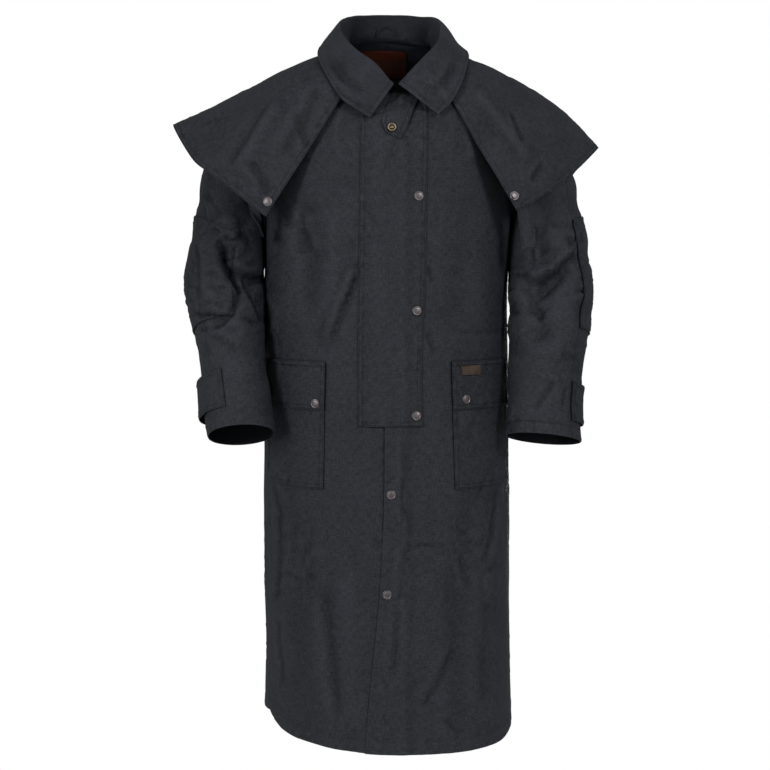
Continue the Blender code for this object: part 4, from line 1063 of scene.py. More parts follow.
def collar(coarse, rib, share):
    """Points and normals of the collar's visible face at these ribs and shares."""
    rib_at = rib * (coarse.shape[1] - 1) / (len(COLLAR) - 1)
    share_at = share * (len(coarse) - 1) / 2
    points = finer(coarse, share_at, rib_at)
    out = grid_normals(points)
    height = creases(points[..., 0], points[..., 2], COLLAR_CREASES)
    height = height * ease(share, 1.0, 1.2)[:, None] * ease(-points[..., 1], *FRONT_BLENDS["collar"])
    height = height + COLLAR_CRUMPLE * wrinkles(points, CRUMPLE_SEEDS["collar"])
    height = height + SOFT_WAVES * noise(points, *WAVES["collar"])
    height = height * ease(share, 0.0, 0.15)[:, None]
    return points + out * height[..., None], out


def grid_normals(points):
    """Unit normals of a grid, from the differences along its columns and its rows."""
    return unit(np.cross(np.gradient(points, axis=1), np.gradient(points, axis=0)))


def arc_lengths(points, axis):
    """Distance along the grid's rows or columns from their first point."""
    steps = np.linalg.norm(np.diff(points, axis=axis), axis=-1)
    return np.concatenate([np.zeros_like(steps.take([0], axis)), np.cumsum(steps, axis=axis)], axis=axis)


def edge_distances(points):
    """Distance of each point of a grid from the grid's four sides."""
    across = arc_lengths(points, 1)
    along = arc_lengths(points, 0)
    return {"start": across, "end": across[:, -1:] - across, "low": along, "high": along[-1:] - along}


def grid_lines(length, step):
    """Places along an edge of this length, as shares of it: closer together near both ends."""
    near = np.array(NEAR_EDGE) * min(1.0, length / (4 * NEAR_EDGE[-1]))
    count = max(2, math.ceil((length - 2 * near[-1]) / step) + 1)
    middle = np.linspace(near[-1], length - near[-1], count)
    return np.concatenate([near[:-1], middle, length - near[-2::-1]]) / length


def edge_relief(points, finish):
    """Height of the finished edges: a rounded rim, a turned hem, and for each line of stitches a
    groove with irregular puckers beside it."""
    height = np.zeros(points.shape[:-1])
    for side, away in edge_distances(points).items():
        if side not in finish:
            continue
        rim, width, rise, lines = EDGES[finish[side]]
        height -= rim * (1 - ease(away, 0.0, 2.2 * MM))
        height += rise * (1 - ease(away, width, width + 2.0 * MM))
        for line in lines:
            height -= GROOVE * np.exp(-(((away - line) / GROOVE_WIDTH) ** 2))
            beside = np.exp(-(((away - line) / PUCKER_REACH) ** 2))
            height += PUCKER * beside * noise(points, *PUCKER_WAVES) * ease(away, 0.0, 3 * MM)
    return height


def from_side(grid, side):
    """The grid turned so that this side is its first column."""
    if side in ("low", "high"):
        grid = grid.swapaxes(0, 1)
    if side in ("end", "high"):
        grid = grid[:, ::-1]
    return grid


def stitch_paths(points, out, finish):
    """A path and its normals for each line of stitches, at its distance from its own side."""
    paths = []
    distances = edge_distances(points)
    for side, kind in finish.items():
        away = from_side(distances[side], side)
        spots = from_side(points, side)
        facing = from_side(out, side)
        for line in EDGES[kind][3]:
            index = np.clip(np.argmax(away >= line, axis=1), 1, None)[:, None]
            before = np.take_along_axis(away, index - 1, 1)
            after = np.take_along_axis(away, index, 1)
            share = ((line - before) / (after - before))[..., None]
            ends = [np.take_along_axis(grid, at[..., None], 1)
                    for grid in (spots, facing) for at in (index - 1, index)]
            path = (ends[0] * (1 - share) + ends[1] * share)[:, 0]
            normal = unit((ends[2] * (1 - share) + ends[3] * share)[:, 0])
            run = arc_lengths(path, 0)
            inside = (run > line) & (run < run[-1] - line)
            if inside.sum() > 2:
                paths.append((path[inside], normal[inside]))
    return paths


def read_path(values, run, places):
    """Values along a path at these distances, straight between its points."""
    return np.stack([np.interp(places, run, values[:, axis]) for axis in range(3)], axis=-1)


def thread_mesh(paths):
    """Stitches on the paths: each a spindle of six points, its ends sunk into the cloth."""
    length = bpy.context.scene.duster_trim.stitch_length
    vertices = []
    for path, normal in paths:
        run = arc_lengths(path, 0)
        centres = np.arange(0.5 * length, run[-1], length)
        if not len(centres):
            continue
        up = unit(read_path(normal, run, centres))
        along = unit(read_path(path, run, centres + TINY) - read_path(path, run, centres - TINY))
        aside = unit(np.cross(up, along)) * THREAD_RADIUS
        up = up * THREAD_RADIUS
        tip = along * STITCH_SHARE * length
        raised = read_path(path, run, centres) + up * STITCH_RISE
        vertices.append(np.stack([raised - tip - up, raised + aside, raised + up, raised - aside,
                                  raised - up, raised + tip - up], axis=1))
    vertices = np.concatenate(vertices)
    count = len(vertices)
    faces = np.array(STITCH_FACES)[None] + 6 * np.arange(count)[:, None, None]
    return vertices.reshape(-1, 3), faces.reshape(-1, 3)


def add_mesh(name, vertices, faces, slot):
    """An object with this mesh on the coat's one body, with the material of its slot."""
    mesh = bpy.data.meshes.new(name)
    mesh.from_pydata(vertices.tolist(), [], faces.tolist() if isinstance(faces, np.ndarray) else faces)
    mesh.shade_smooth()
    mesh.set_sharp_from_angle(angle=math.radians(50))
    mesh.materials.append(MATERIALS[slot]())
    made = bpy.data.objects.new(name, mesh)
    bpy.context.scene.collection.objects.link(made)
    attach(made, BODY_NAME)
    return made


def add_threads(name, paths):
    """The stitches on these paths as one piece."""
    vertices, faces = thread_mesh(paths)
    return add_mesh(name, vertices, faces, "thread")


def set_attribute(mesh, name, values):
    """Stores one number for each vertex."""
    layer = mesh.attributes.new(name, "FLOAT", "POINT")
    layer.data.foreach_set("value", np.ascontiguousarray(values, np.float32).ravel())


def blurred(height, reach):
    """The grid of heights averaged over squares of 2 reach + 1 points."""
    for axis in (0, 1):
        padded = np.pad(height, [(reach, reach) if axis == one else (0, 0) for one in (0, 1)], mode="edge")
        total = np.cumsum(padded, axis=axis)
        total = np.concatenate([np.zeros_like(total.take([0], axis)), total], axis=axis)
        size = height.shape[axis]
        upper = total.take(np.arange(2 * reach + 1, 2 * reach + 1 + size), axis)
        lower = total.take(np.arange(size), axis)
        height = (upper - lower) / (2 * reach + 1)
    return height


def stitch_groove_shade(distances, finish):
    """Painted shade beside the stitches, in their grooves: for each line's distance d, exp(-(d / 1.4
    mm)^2).
    """
    groove_shade = np.zeros_like(distances["low"])
    for side, kind in finish.items():
        for line in EDGES[kind][3]:
            groove_shade = np.maximum(groove_shade, np.exp(-(((distances[side] - line) / STITCH_SHADE_REACH) ** 2)))
    return groove_shade


def grain(points, fan):
    """Where each point of the grid lies in the flat cloth, in metres. Along a straight piece: the
    distance across its row from its straighter side, and the mean distance up its columns. In a
    fan the rows are arcs round one centre: radius r = r0 + distance down, turn = share of the
    row's length times the fan's."""
    across = arc_lengths(points, 1)
    along = np.broadcast_to(arc_lengths(points, 0).mean(axis=1)[:, None], across.shape)
    if not fan:
        climbs = arc_lengths(points, 0)[-1]
        straight = [np.linalg.norm(points[-1, side] - points[0, side]) / climbs[side] for side in (0, -1)]
        plumb = 0 if straight[0] > straight[1] else across.shape[1] - 1
        return np.stack([across - across[:, plumb:plumb + 1], along], axis=-1)
    lengths = across[:, -1:]
    spread = (lengths[-1] - lengths[0]) / along[-1, 0]
    radius = lengths[0] / spread + along
    turn = (across / lengths - 0.5) * spread
    return np.stack([radius * np.sin(turn), -radius * np.cos(turn)], axis=-1)


def cloth_wall(name, points, out, lift=0.0, thick=CLOTH, finish=None, fan=False, rubbed_and_shaded=0.0,
               slot="waxed_cotton"):
    """A closed wall on a grid, with rims. The outer face carries the finished edges. It stores for each
    point how light its colour is, as wear and painted shade: lighter on ridges and darker in valleys,
    partly painted shade and light, lighter along edges where the wax wears, darker beside stitches, on the
    inner face and wherever shade is passed in, as painted shade; and a UV map of the flat cloth in metres.
    Returns the object and its paths of stitches."""
    finish = finish or {}
    lift = np.asarray(lift)[..., None] if np.ndim(lift) else lift
    base = points + out * lift
    relief = edge_relief(points, finish)
    outer = base + out * relief[..., None]
    inner = base - out * thick
    rows, columns = points.shape[:2]
    count = rows * columns
    at = np.arange(count).reshape(rows, columns)
    quads = np.stack([at[:-1, :-1], at[:-1, 1:], at[1:, 1:], at[1:, :-1]], axis=-1).reshape(-1, 4)
    rim = np.concatenate([at[0], at[1:, -1], at[-1, -2::-1], at[-2:0:-1, 0]])
    there = np.roll(rim, -1)
    sides = np.stack([there, rim, rim + count, there + count], axis=-1)
    faces = np.concatenate([quads, quads[:, ::-1] + count, sides])
    vertices = np.concatenate([outer.reshape(-1, 3), inner.reshape(-1, 3)])
    made = add_mesh(name, vertices, faces, slot)
    mesh = made.data
    distances = edge_distances(points)
    shown = [distances[side] for side in finish] or [np.full(relief.shape, 1.0)]
    edge = np.min(shown, axis=0)
    # Lighter on ridges and darker in valleys: partly wax wear, partly painted shade and light
    around = np.stack([blurred(outer[..., axis], RIDGE_REACH) for axis in range(3)], axis=-1)
    ridge = np.clip(np.sum((outer - around) * out, axis=-1) / RIDGE_HEIGHT, -RIDGE_LIMIT, RIDGE_LIMIT)
    wear_and_shade = WEAR_AND_SHADE["flat"] + WEAR_AND_SHADE["ridge"] * ridge + WEAR_AND_SHADE["edge"] * np.exp(-((edge / EDGE_WIDTH) ** 2))
    # Painted shade passed in by the caller, and painted shade beside the stitches, in their grooves
    wear_and_shade += rubbed_and_shaded - WEAR_AND_SHADE["stitches"] * stitch_groove_shade(distances, finish)
    # The inner face is darker: painted shade inside the coat
    set_attribute(mesh, "wear_and_shade", np.concatenate([wear_and_shade.ravel(), np.full(count, WEAR_AND_SHADE["inside"])]))
    uv = grain(points, fan).reshape(-1, 2)
    corners = np.empty(len(mesh.loops), np.int32)
    mesh.loops.foreach_get("vertex_index", corners)
    layer = mesh.uv_layers.new(name="cloth")
    layer.data.foreach_set("uv", np.concatenate([uv, uv])[corners].ravel())
    return made, stitch_paths(outer, out, finish)


def lap_over(points):
    """How far cloth is lifted by the right front under it: a full lap over that front's edge,
    eased down to nothing within the lap's slope."""
    return LAP * (1 - ease(points[..., 0], UNDERLAP_X, UNDERLAP_X + LAP_SLOPE))


def faced_out(side, *grids):
    """The grids, for the right side with their columns turned round, so that faces point outwards."""
    return grids if side == "left" else tuple(grid[:, ::-1] for grid in grids)


def declare(made, paths, replaces):
    """Adds the cloth's stitches and hides the parts that it replaces."""
    threads = [add_threads(made.name + "_stitches", paths)] if paths else []
    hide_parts(*replaces)


def cloth_lines(width, length):
    """Shares of the columns and of the rows of a piece of this size."""
    step = bpy.context.scene.duster_cloth.step
    return grid_lines(width, step), grid_lines(length, step)


def body_grid(levels, start, end, shares):
    """Angles from one edge to the other at each level, and the levels, risen towards the hem."""
    angle = start[:, None] * (1 - shares) + end[:, None] * shares
    level = np.broadcast_to(levels[:, None], angle.shape)
    return angle, level + hem_rise(angle) * (1 - ease(level, HEM, HEM_RISE_TOP))


def hem_rise(angle):
    """How far the hem rises near each side seam: rise exp(-|angle - seam| / reach)."""
    side = np.abs(np.angle(np.exp(1j * angle)))
    near = np.exp(-np.abs(side - SIDE_SEAM) / np.where(side < SIDE_SEAM, *HEM_RISE_REACHES))
    return np.where(np.sin(angle) > 0, *HEM_RISES) * near


def front_edge(side, levels):
    """Angles of a front's edge near the middle, from its X at each level."""
    if side == "left":
        return front_angle(read_table(OVERLAP_EDGE, levels)[0], levels)
    return front_angle(UNDERLAP_X, levels)


def front_panel(side):
    """One front, from its edge at the middle to the side seam, the armhole and the shoulder."""
    across, along = cloth_lines(*HANGING["front"])
    levels = HEM + (NECK - HEM) * along
    seam = SIGNS[side] * (side_angle(levels, -1) - seam_turn(levels))
    if side == "left":
        seam -= HEM_SLIT * (1 - ease(levels, HEM, HEM_SLIT_TOP))
    angle, level = faced_out(side, *body_grid(levels, front_edge(side, levels), seam, across))
    points, out = body(angle, level)
    lift = lap_over(smooth_body(angle, level)) if side == "left" else 0.0
    front, sewn = EDGE_ORDER[side]
    finish = {"low": "hem", front: "front", sewn: "seam"}
    made, paths = cloth_wall("front_" + side + "_cloth", points, out, lift, finish=finish)
    declare(made, paths, ["front_" + side])


def back_panel(side):
    """One back, with half of the middle seam. The left one runs on over the right in the vent."""
    sign = SIGNS[side]
    across, along = cloth_lines(*HANGING["back"])
    levels = HEM + (NECK - HEM) * along
    seam = sign * (side_angle(levels, 1) + seam_turn(levels))
    middle = sign * (math.pi - seam_turn(levels))
    open_share = 1 - ease(levels, VENT_TOP - VENT_SLANT, VENT_TOP)
    edge = middle + open_share * VENT_LAP if side == "left" else middle
    angle, level = faced_out(side, *body_grid(levels, seam, edge, across))
    points, out = body(angle, level)
    raised = 1 - ease(level, VENT_TOP, VENT_TOP + VENT_SLANT)
    reach = ease(angle, math.pi - VENT_LAP - VENT_EASES[0], math.pi - VENT_EASES[1])
    lift = LAP * reach * raised if side == "left" else 0.0
    sewn, middle_edge = EDGE_ORDER[side]
    finish = {"low": "hem", sewn: "seam", middle_edge: "felled"}
    made, paths = cloth_wall("back_" + side + "_cloth", points, out, lift, finish=finish)
    declare(made, paths, ["back_" + side])


def storm_flap():
    """Sewn to the right front beside its edge, and laid over the left front's edge."""
    across, along = cloth_lines(*HANGING["storm_flap"])
    levels = STORM_BOTTOM + (STORM_TOP - STORM_BOTTOM) * along
    edge_x, seam_x = read_table(STORM_EDGES, levels)
    angle, level = body_grid(levels, front_angle(seam_x, levels), front_angle(edge_x, levels), across)
    points, out = body(angle, level)
    below = smooth_body(angle, level)
    lap = lap_over(below) * ease(below[..., 0], STORM_SEAM_X, OVERLAP_EDGE[-1][1])
    finish = {"low": "flap", "start": "felled", "end": "flap"}
    made, paths = cloth_wall("storm_flap_cloth", points, out, lap + STORM_LIFT, TRIM, finish)
    declare(made, paths, ["storm_flap"])


def pocket_angles(side, levels):
    """Angles of a pocket's edge near the middle and of its edge near the side seam."""
    last = front_angle(STORM_EDGE_X if side == "left" else STORM_SEAM_X, levels)
    seam = SIGNS[side] * (side_angle(levels, -1) - seam_turn(levels))
    pocket = last + (seam - last) * POCKET_SHARE[side]
    return pocket, pocket + (seam - pocket) * POCKET_REACH


def pocket_piece(side, name, low, lift, finish):
    """A patch or its flap, on the front, from this low level up to the pocket's top."""
    across, along = cloth_lines(POCKET_WIDTH, POCKET_TOP - low)
    levels = low + (POCKET_TOP - low) * along
    angle, level = faced_out(side, *body_grid(levels, *pocket_angles(side, levels), across))
    points, out = body(angle, level)
    made, paths = cloth_wall(f"{name}_{side}_cloth", points, out, lift, TRIM, finish)
    declare(made, paths, [f"{name}_{side}"])


def pockets(side):
    """A patch pocket and the flap over it."""
    patch = {"low": "felled", "high": "seam", "start": "felled", "end": "felled"}
    flap = {"low": "flap", "high": "felled", "start": "flap", "end": "flap"}
    pocket_piece(side, "pocket", POCKET_BOTTOM, POCKET_LIFT, patch)
    pocket_piece(side, "pocket_flap", POCKET_FLAP_BOTTOM, POCKET_FLAP_LIFT, flap)


def sleeve_wall(name, side, turns, shares, flat, finish, lift=0.0, thick=CLOTH):
    """A piece of a sleeve between two turns round the arm and two shares along it."""
    width, length, _ = flat
    across, along = cloth_lines(width, length)
    turn = turns[0] + (turns[1] - turns[0]) * across
    share = shares[0] + (shares[1] - shares[0]) * along
    if side == "left":
        turn = turn[::-1]
    turn, share = np.meshgrid(turn, share[::-1])
    points, out = sleeve(turn, share, side)
    if callable(lift):
        lift = lift(turn)
    # Painted shade of the cape on the upper sleeve
    rubbed_and_shaded = SLEEVE_SHADE[side] * (1 - ease(share, *SLEEVE_SHADE_ENDS))
    made, paths = cloth_wall(f"{name}_{side}_cloth", points, out, lift, thick, finish, rubbed_and_shaded=rubbed_and_shaded)
    declare(made, paths, [f"{name}_{side}"])


def tab_lift(side, turn):
    """A cuff tab's lift: it stands off in a bell round the outside of the arm."""
    bell = np.exp(-(((turn - TAB_BELL_MIDDLE) / TAB_BELL_WIDTH) ** 2))
    return TRIM + LAY_GAP + TAB_STANDS_OFF[side] * bell


def sleeves(side):
    """Two lengthwise pieces, the elbow patch sewn on them, and the tab at the cuff."""
    gap = SEAM_GAP / SLEEVE_RADIUS
    cuff = {"low": "cuff", "high": "seam", "start": "seam", "end": "seam"}
    front = (SLEEVE_SEAM + gap, math.pi - gap)
    back = (gap - math.pi, SLEEVE_SEAM - gap)
    sleeve_wall("sleeve_front", side, front, (0.0, 1.0), FLATS["sleeve_front"], cuff)
    sleeve_wall("sleeve_back", side, back, (0.0, 1.0), FLATS["sleeve_back"], cuff)
    sleeve_wall("elbow_patch", side, PATCH_TURNS[side], PATCH_SHARES, FLATS["elbow_patch"],
                dict.fromkeys(ALL_ROUND, "patch"), TRIM + LAY_GAP, TRIM)
    sleeve_wall("cuff_tab", side, CUFF_TAB_TURNS[side], CUFF_TAB_SHARES, FLATS["cuff_tab"],
                dict.fromkeys(ALL_ROUND, "flap"), functools.partial(tab_lift, side), TRIM)


@functools.cache
def cape_rest():
    """The resting cape, worked out once."""
    return resting_cape()


@functools.cache
def collar_rest():
    """The resting collar, worked out once."""
    return resting_collar(cape_rest())


def cape_piece():
    """The cape, its neck edge sewn under the collar and its other edges turned."""
    across, along = cloth_lines(*HANGING["cape"])
    points, out = cape(cape_rest(), across * (len(CAPE) - 1), along)
    finish = {"high": "cape", "start": "cape", "end": "cape"}
    made, paths = cloth_wall("cape_cloth", points, out, finish=finish, fan=True)
    declare(made, paths, ["cape"])


def collar_piece():
    """The collar's stand and fall, the stand darker than the fall as painted shade inside the neck."""
    across, along = cloth_lines(*HANGING["collar"])
    points, out = collar(collar_rest(), across * (len(COLLAR) - 1), 2 * along)
    finish = {"high": "collar", "start": "collar", "end": "collar"}
    # Painted shade on the stand, inside the neck
    rubbed_and_shaded = STAND_SHADE * (1 - ease(2 * along, *STAND_SHADE_ENDS))[:, None]
    made, paths = cloth_wall("collar_cloth", points, out, finish=finish, rubbed_and_shaded=rubbed_and_shaded)
    declare(made, paths, ["collar"])


def throat_tab():
    """A strap with a blunt point, laid over the storm flap below the left collar leaf."""
    across, along = cloth_lines(*HANGING["throat_tab"])
    row_at = along * (len(TAB) - 1)
    rows = np.stack([np.interp(row_at, range(len(TAB)), column) for column in zip(*TAB)], axis=1)
    spread = 2 * across - 1
    x = rows[:, None, 0] + rows[:, None, 2] * spread * math.cos(TAB_LEAN)
    z = rows[:, None, 1] + rows[:, None, 2] * spread * -math.sin(TAB_LEAN)
    angle, level = front_place(x[::-1], z[::-1])
    points, out = body(angle, level)
    finish = {"low": "flap", "start": "flap", "end": "flap"}
    made, paths = cloth_wall("throat_tab_cloth", points, out, TAB_LIFT, TRIM, finish)
    declare(made, paths, ["throat_tab"])


def keeper_strap(side):
    """Held under the cape's corner by its snap, and hanging free below the hem."""
    strap = STRAPS[side]
    sign = SIGNS[side]
    around, facing = cape(cape_rest(), strap["rib"] + 0.1 * BESIDE, np.array(STRAP_SHARES))
    sideways = unit(around[:, 2] - around[:, 0]) * -sign
    under = around[:, 1] - facing[:, 1] * (CLOTH + 2 * LAY_GAP)
    hang = np.linspace(0, 1, 9)[1:, None]
    down = under[-1] + (under[-1] - under[-2]) * STRAP_BOW * hang * (1 - hang)
    centres = np.concatenate([under, down * (1 - hang) + np.array(strap["end"]) * hang])
    twist = ease(hang, 0.0, 1.0)
    last = sign * np.array(strap["across"])
    sideways = np.concatenate([sideways, unit(sideways[-1] * (1 - twist) + last * twist)])
    across, along = cloth_lines(*HANGING["keeper_strap"])
    run = np.arange(len(centres)) / (len(centres) - 1)
    middle = np.stack(read_table(np.column_stack([run, centres]), along), axis=-1)
    aside = unit(np.stack(read_table(np.column_stack([run, sideways]), along), axis=-1))
    points = middle[:, None] + aside[:, None] * (2 * across - 1)[None, :, None] * STRAP_HALF_WIDTH
    out = grid_normals(points)
    if np.sum(out[0, 0] * facing[0, 1]) < 0:
        points = points[:, ::-1]
        out = -out[:, ::-1]
    finish = {"high": "strap", "start": "strap", "end": "strap"}
    made, paths = cloth_wall("keeper_strap_" + side + "_cloth", points, out, 0.0, TRIM, finish)
    declare(made, paths, ["keeper_strap_" + side])


def hanger_loop():
    """A narrow band in an arch on the inside of the collar's stand."""
    along = np.linspace(0, 1, 33)
    arch = LOOP_SHARES[0] + (LOOP_SHARES[1] - LOOP_SHARES[0]) * np.sin(math.pi * along) ** LOOP_SQUARENESS
    rib = LOOP_RIBS[0] + (LOOP_RIBS[1] - LOOP_RIBS[0]) * along
    coarse = collar_rest()
    path = []
    facing = []
    for this_rib, this_share in zip(rib, arch):
        point, out = collar(coarse, this_rib + 0.05 * BESIDE, this_share + 0.05 * BESIDE)
        path.append(point[1, 1])
        facing.append(out[1, 1])
    path = np.array(path)
    facing = np.array(facing)
    ahead = unit(np.gradient(path, axis=0))
    aside = unit(np.cross(facing, ahead)) * LOOP_HALF_WIDTH
    points = path[None] + aside[None] * np.linspace(-1, 1, 5)[:, None, None]
    out = np.repeat(facing[None], 5, axis=0)
    # The loop is darkened as painted shade inside the neck
    made, paths = cloth_wall("hanger_loop_cloth", points, out, LOOP_GAP + TRIM, TRIM, rubbed_and_shaded=LOOP_SHADE)
    declare(made, paths, ["hanger_loop"])


def neck_label():
    """Blank leather inside the back of the neck, its visible side towards the neck."""
    across = grid_lines(2 * LABEL_HALF_WIDTH, LABEL_STEP)
    along = grid_lines(LABEL_TOP - SHOULDER_TIP, LABEL_STEP)
    levels = SHOULDER_TIP + (LABEL_TOP - SHOULDER_TIP) * along
    spread = LABEL_HALF_WIDTH * (1 - 2 * across)
    angle = math.pi + (spread + LABEL_ASIDE) / read_table(BODY, levels)[3][:, None]
    level = levels[:, None] + LABEL_TILT * spread * ease(levels, 0.0, LABEL_TOP)[:, None]
    points, out = body(angle, level)
    points = points - out * (CLOTH + LAY_GAP + LEATHER)
    finish = dict.fromkeys(ALL_ROUND, "leather")
    made, paths = cloth_wall("neck_label_leather", points, -out, 0.0, LEATHER, finish, slot="brown_leather")
    add_threads("neck_label_stitches", paths)
    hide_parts("neck_label")


def pocket_badge():
    """Blank leather on the left pocket's flap."""
    width = BADGE_X[1] - BADGE_X[0]
    height = BADGE_Z[1] - BADGE_Z[0]
    x = BADGE_X[0] + width * grid_lines(width, BADGE_STEP)
    z = BADGE_Z[0] + height * grid_lines(height, BADGE_STEP)
    angle, level = front_place(*np.meshgrid(x, z))
    points, out = body(angle, level)
    lift = POCKET_FLAP_LIFT + LAY_GAP + LEATHER
    finish = dict.fromkeys(ALL_ROUND, "leather")
    made, paths = cloth_wall("pocket_badge_leather", points, out, lift, LEATHER, finish, slot="tan_leather")
    add_threads("pocket_badge_stitches", paths)
    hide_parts("pocket_badge")


def turned(name, seat, out, radius, profile, slot, replaces):
    """A profile turned about its axis and set on its seat: seat + r (cos t first + sin t second)
    + h out, with r as a share of the radius and h in millimetres."""
    turns = np.arange(ROUND_SIDES) * 2 * math.pi / ROUND_SIDES
    third = unit(out)
    first = unit(np.cross((0.0, 0.0, 1.0), third))
    second = np.cross(third, first)
    ring = np.cos(turns)[:, None] * first + np.sin(turns)[:, None] * second
    profile = np.array(profile) * (radius, MM)
    rings = seat + profile[:, None, :1] * ring + profile[:, None, 1:] * third
    bottom = seat + profile[0, 1] * third
    top = seat + profile[-1, 1] * third
    vertices = np.concatenate([rings.reshape(-1, 3), [bottom, top]])
    count = len(profile)
    at = np.arange(count * ROUND_SIDES).reshape(count, ROUND_SIDES)
    there = np.roll(at, -1, axis=1)
    walls = np.stack([at[:-1], there[:-1], there[1:], at[1:]], axis=-1).reshape(-1, 4).tolist()
    low = np.stack([there[0], at[0], np.full(ROUND_SIDES, at.size)], axis=-1).tolist()
    high = np.stack([at[-1], there[-1], np.full(ROUND_SIDES, at.size + 1)], axis=-1).tolist()
    made = add_mesh(name, vertices, walls + low + high, slot)
    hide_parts(replaces)


def snap_cap(node, seat, out):
    """A pressed cap with a rolled rim, a shallow trough inside it and a low dome."""
    radius = bpy.context.scene.duster_trim.snap_radius
    turned(node + "_cap", seat, out, radius, SNAP_PROFILE, "copper", node)


def front_seat(x, z, lift):
    """Point and normal on the front at this X and height, this far above the body."""
    points, out = body(*front_place(np.array([[x]]), np.array([[z]])))
    return points[0, 0] + out[0, 0] * lift, out[0, 0]


def fasteners():
    """The nine snaps' caps, and the throat button with its dark ring and its stud."""
    snaps = [(f"storm_snap_{number}", place, STORM_LIFT) for number, place in enumerate(STORM_SNAPS, 1)]
    snaps += [(f"front_snap_{number}", place, LAP) for number, place in enumerate(FRONT_SNAPS, 1)]
    snaps += [(f"pocket_snap_{side}", place, POCKET_FLAP_LIFT) for side, place in POCKET_SNAPS.items()]
    for node, place, lift in snaps:
        snap_cap(node, *front_seat(*place, lift))
    for side, (rib, share) in CAPE_SNAP_SHARES.items():
        points, out = cape(cape_rest(), rib + 0.04 * BESIDE, share + 0.02 * BESIDE)
        snap_cap("cape_snap_" + side, points[1, 1], out[1, 1])
    seat = front_seat(*TAB_BUTTON, TAB_LIFT)
    turned("throat_button_rim", *seat, BUTTON_RADIUS, BUTTON_RIM, "brass", "throat_button")
    turned("throat_button_ring", *seat, BUTTON_RADIUS, BUTTON_RING, "core", "throat_button")
    turned("throat_button_stud", *seat, BUTTON_RADIUS, BUTTON_STUD, "brass", "throat_button")


def put(tree, kind, inputs=None, **settings):
    """Adds one node: settings are its own properties, inputs the values or links of its sockets."""
    node = tree.nodes.new(kind)
    for name, value in settings.items():
        setattr(node, name, value)
    for name, value in (inputs or {}).items():
        if isinstance(value, bpy.types.NodeSocket):
            tree.links.new(value, node.inputs[name])
        else:
            node.inputs[name].default_value = value
    return node


def fresh(name, **sockets):
    """A new material, its node tree and its shader with these constant sockets."""
    material = bpy.data.materials.new(name)
    material.use_nodes = True
    tree = material.node_tree
    shader = tree.nodes["Principled BSDF"]
    for socket, value in sockets.items():
        shader.inputs[socket.replace("_", " ")].default_value = value
    return material, tree, shader


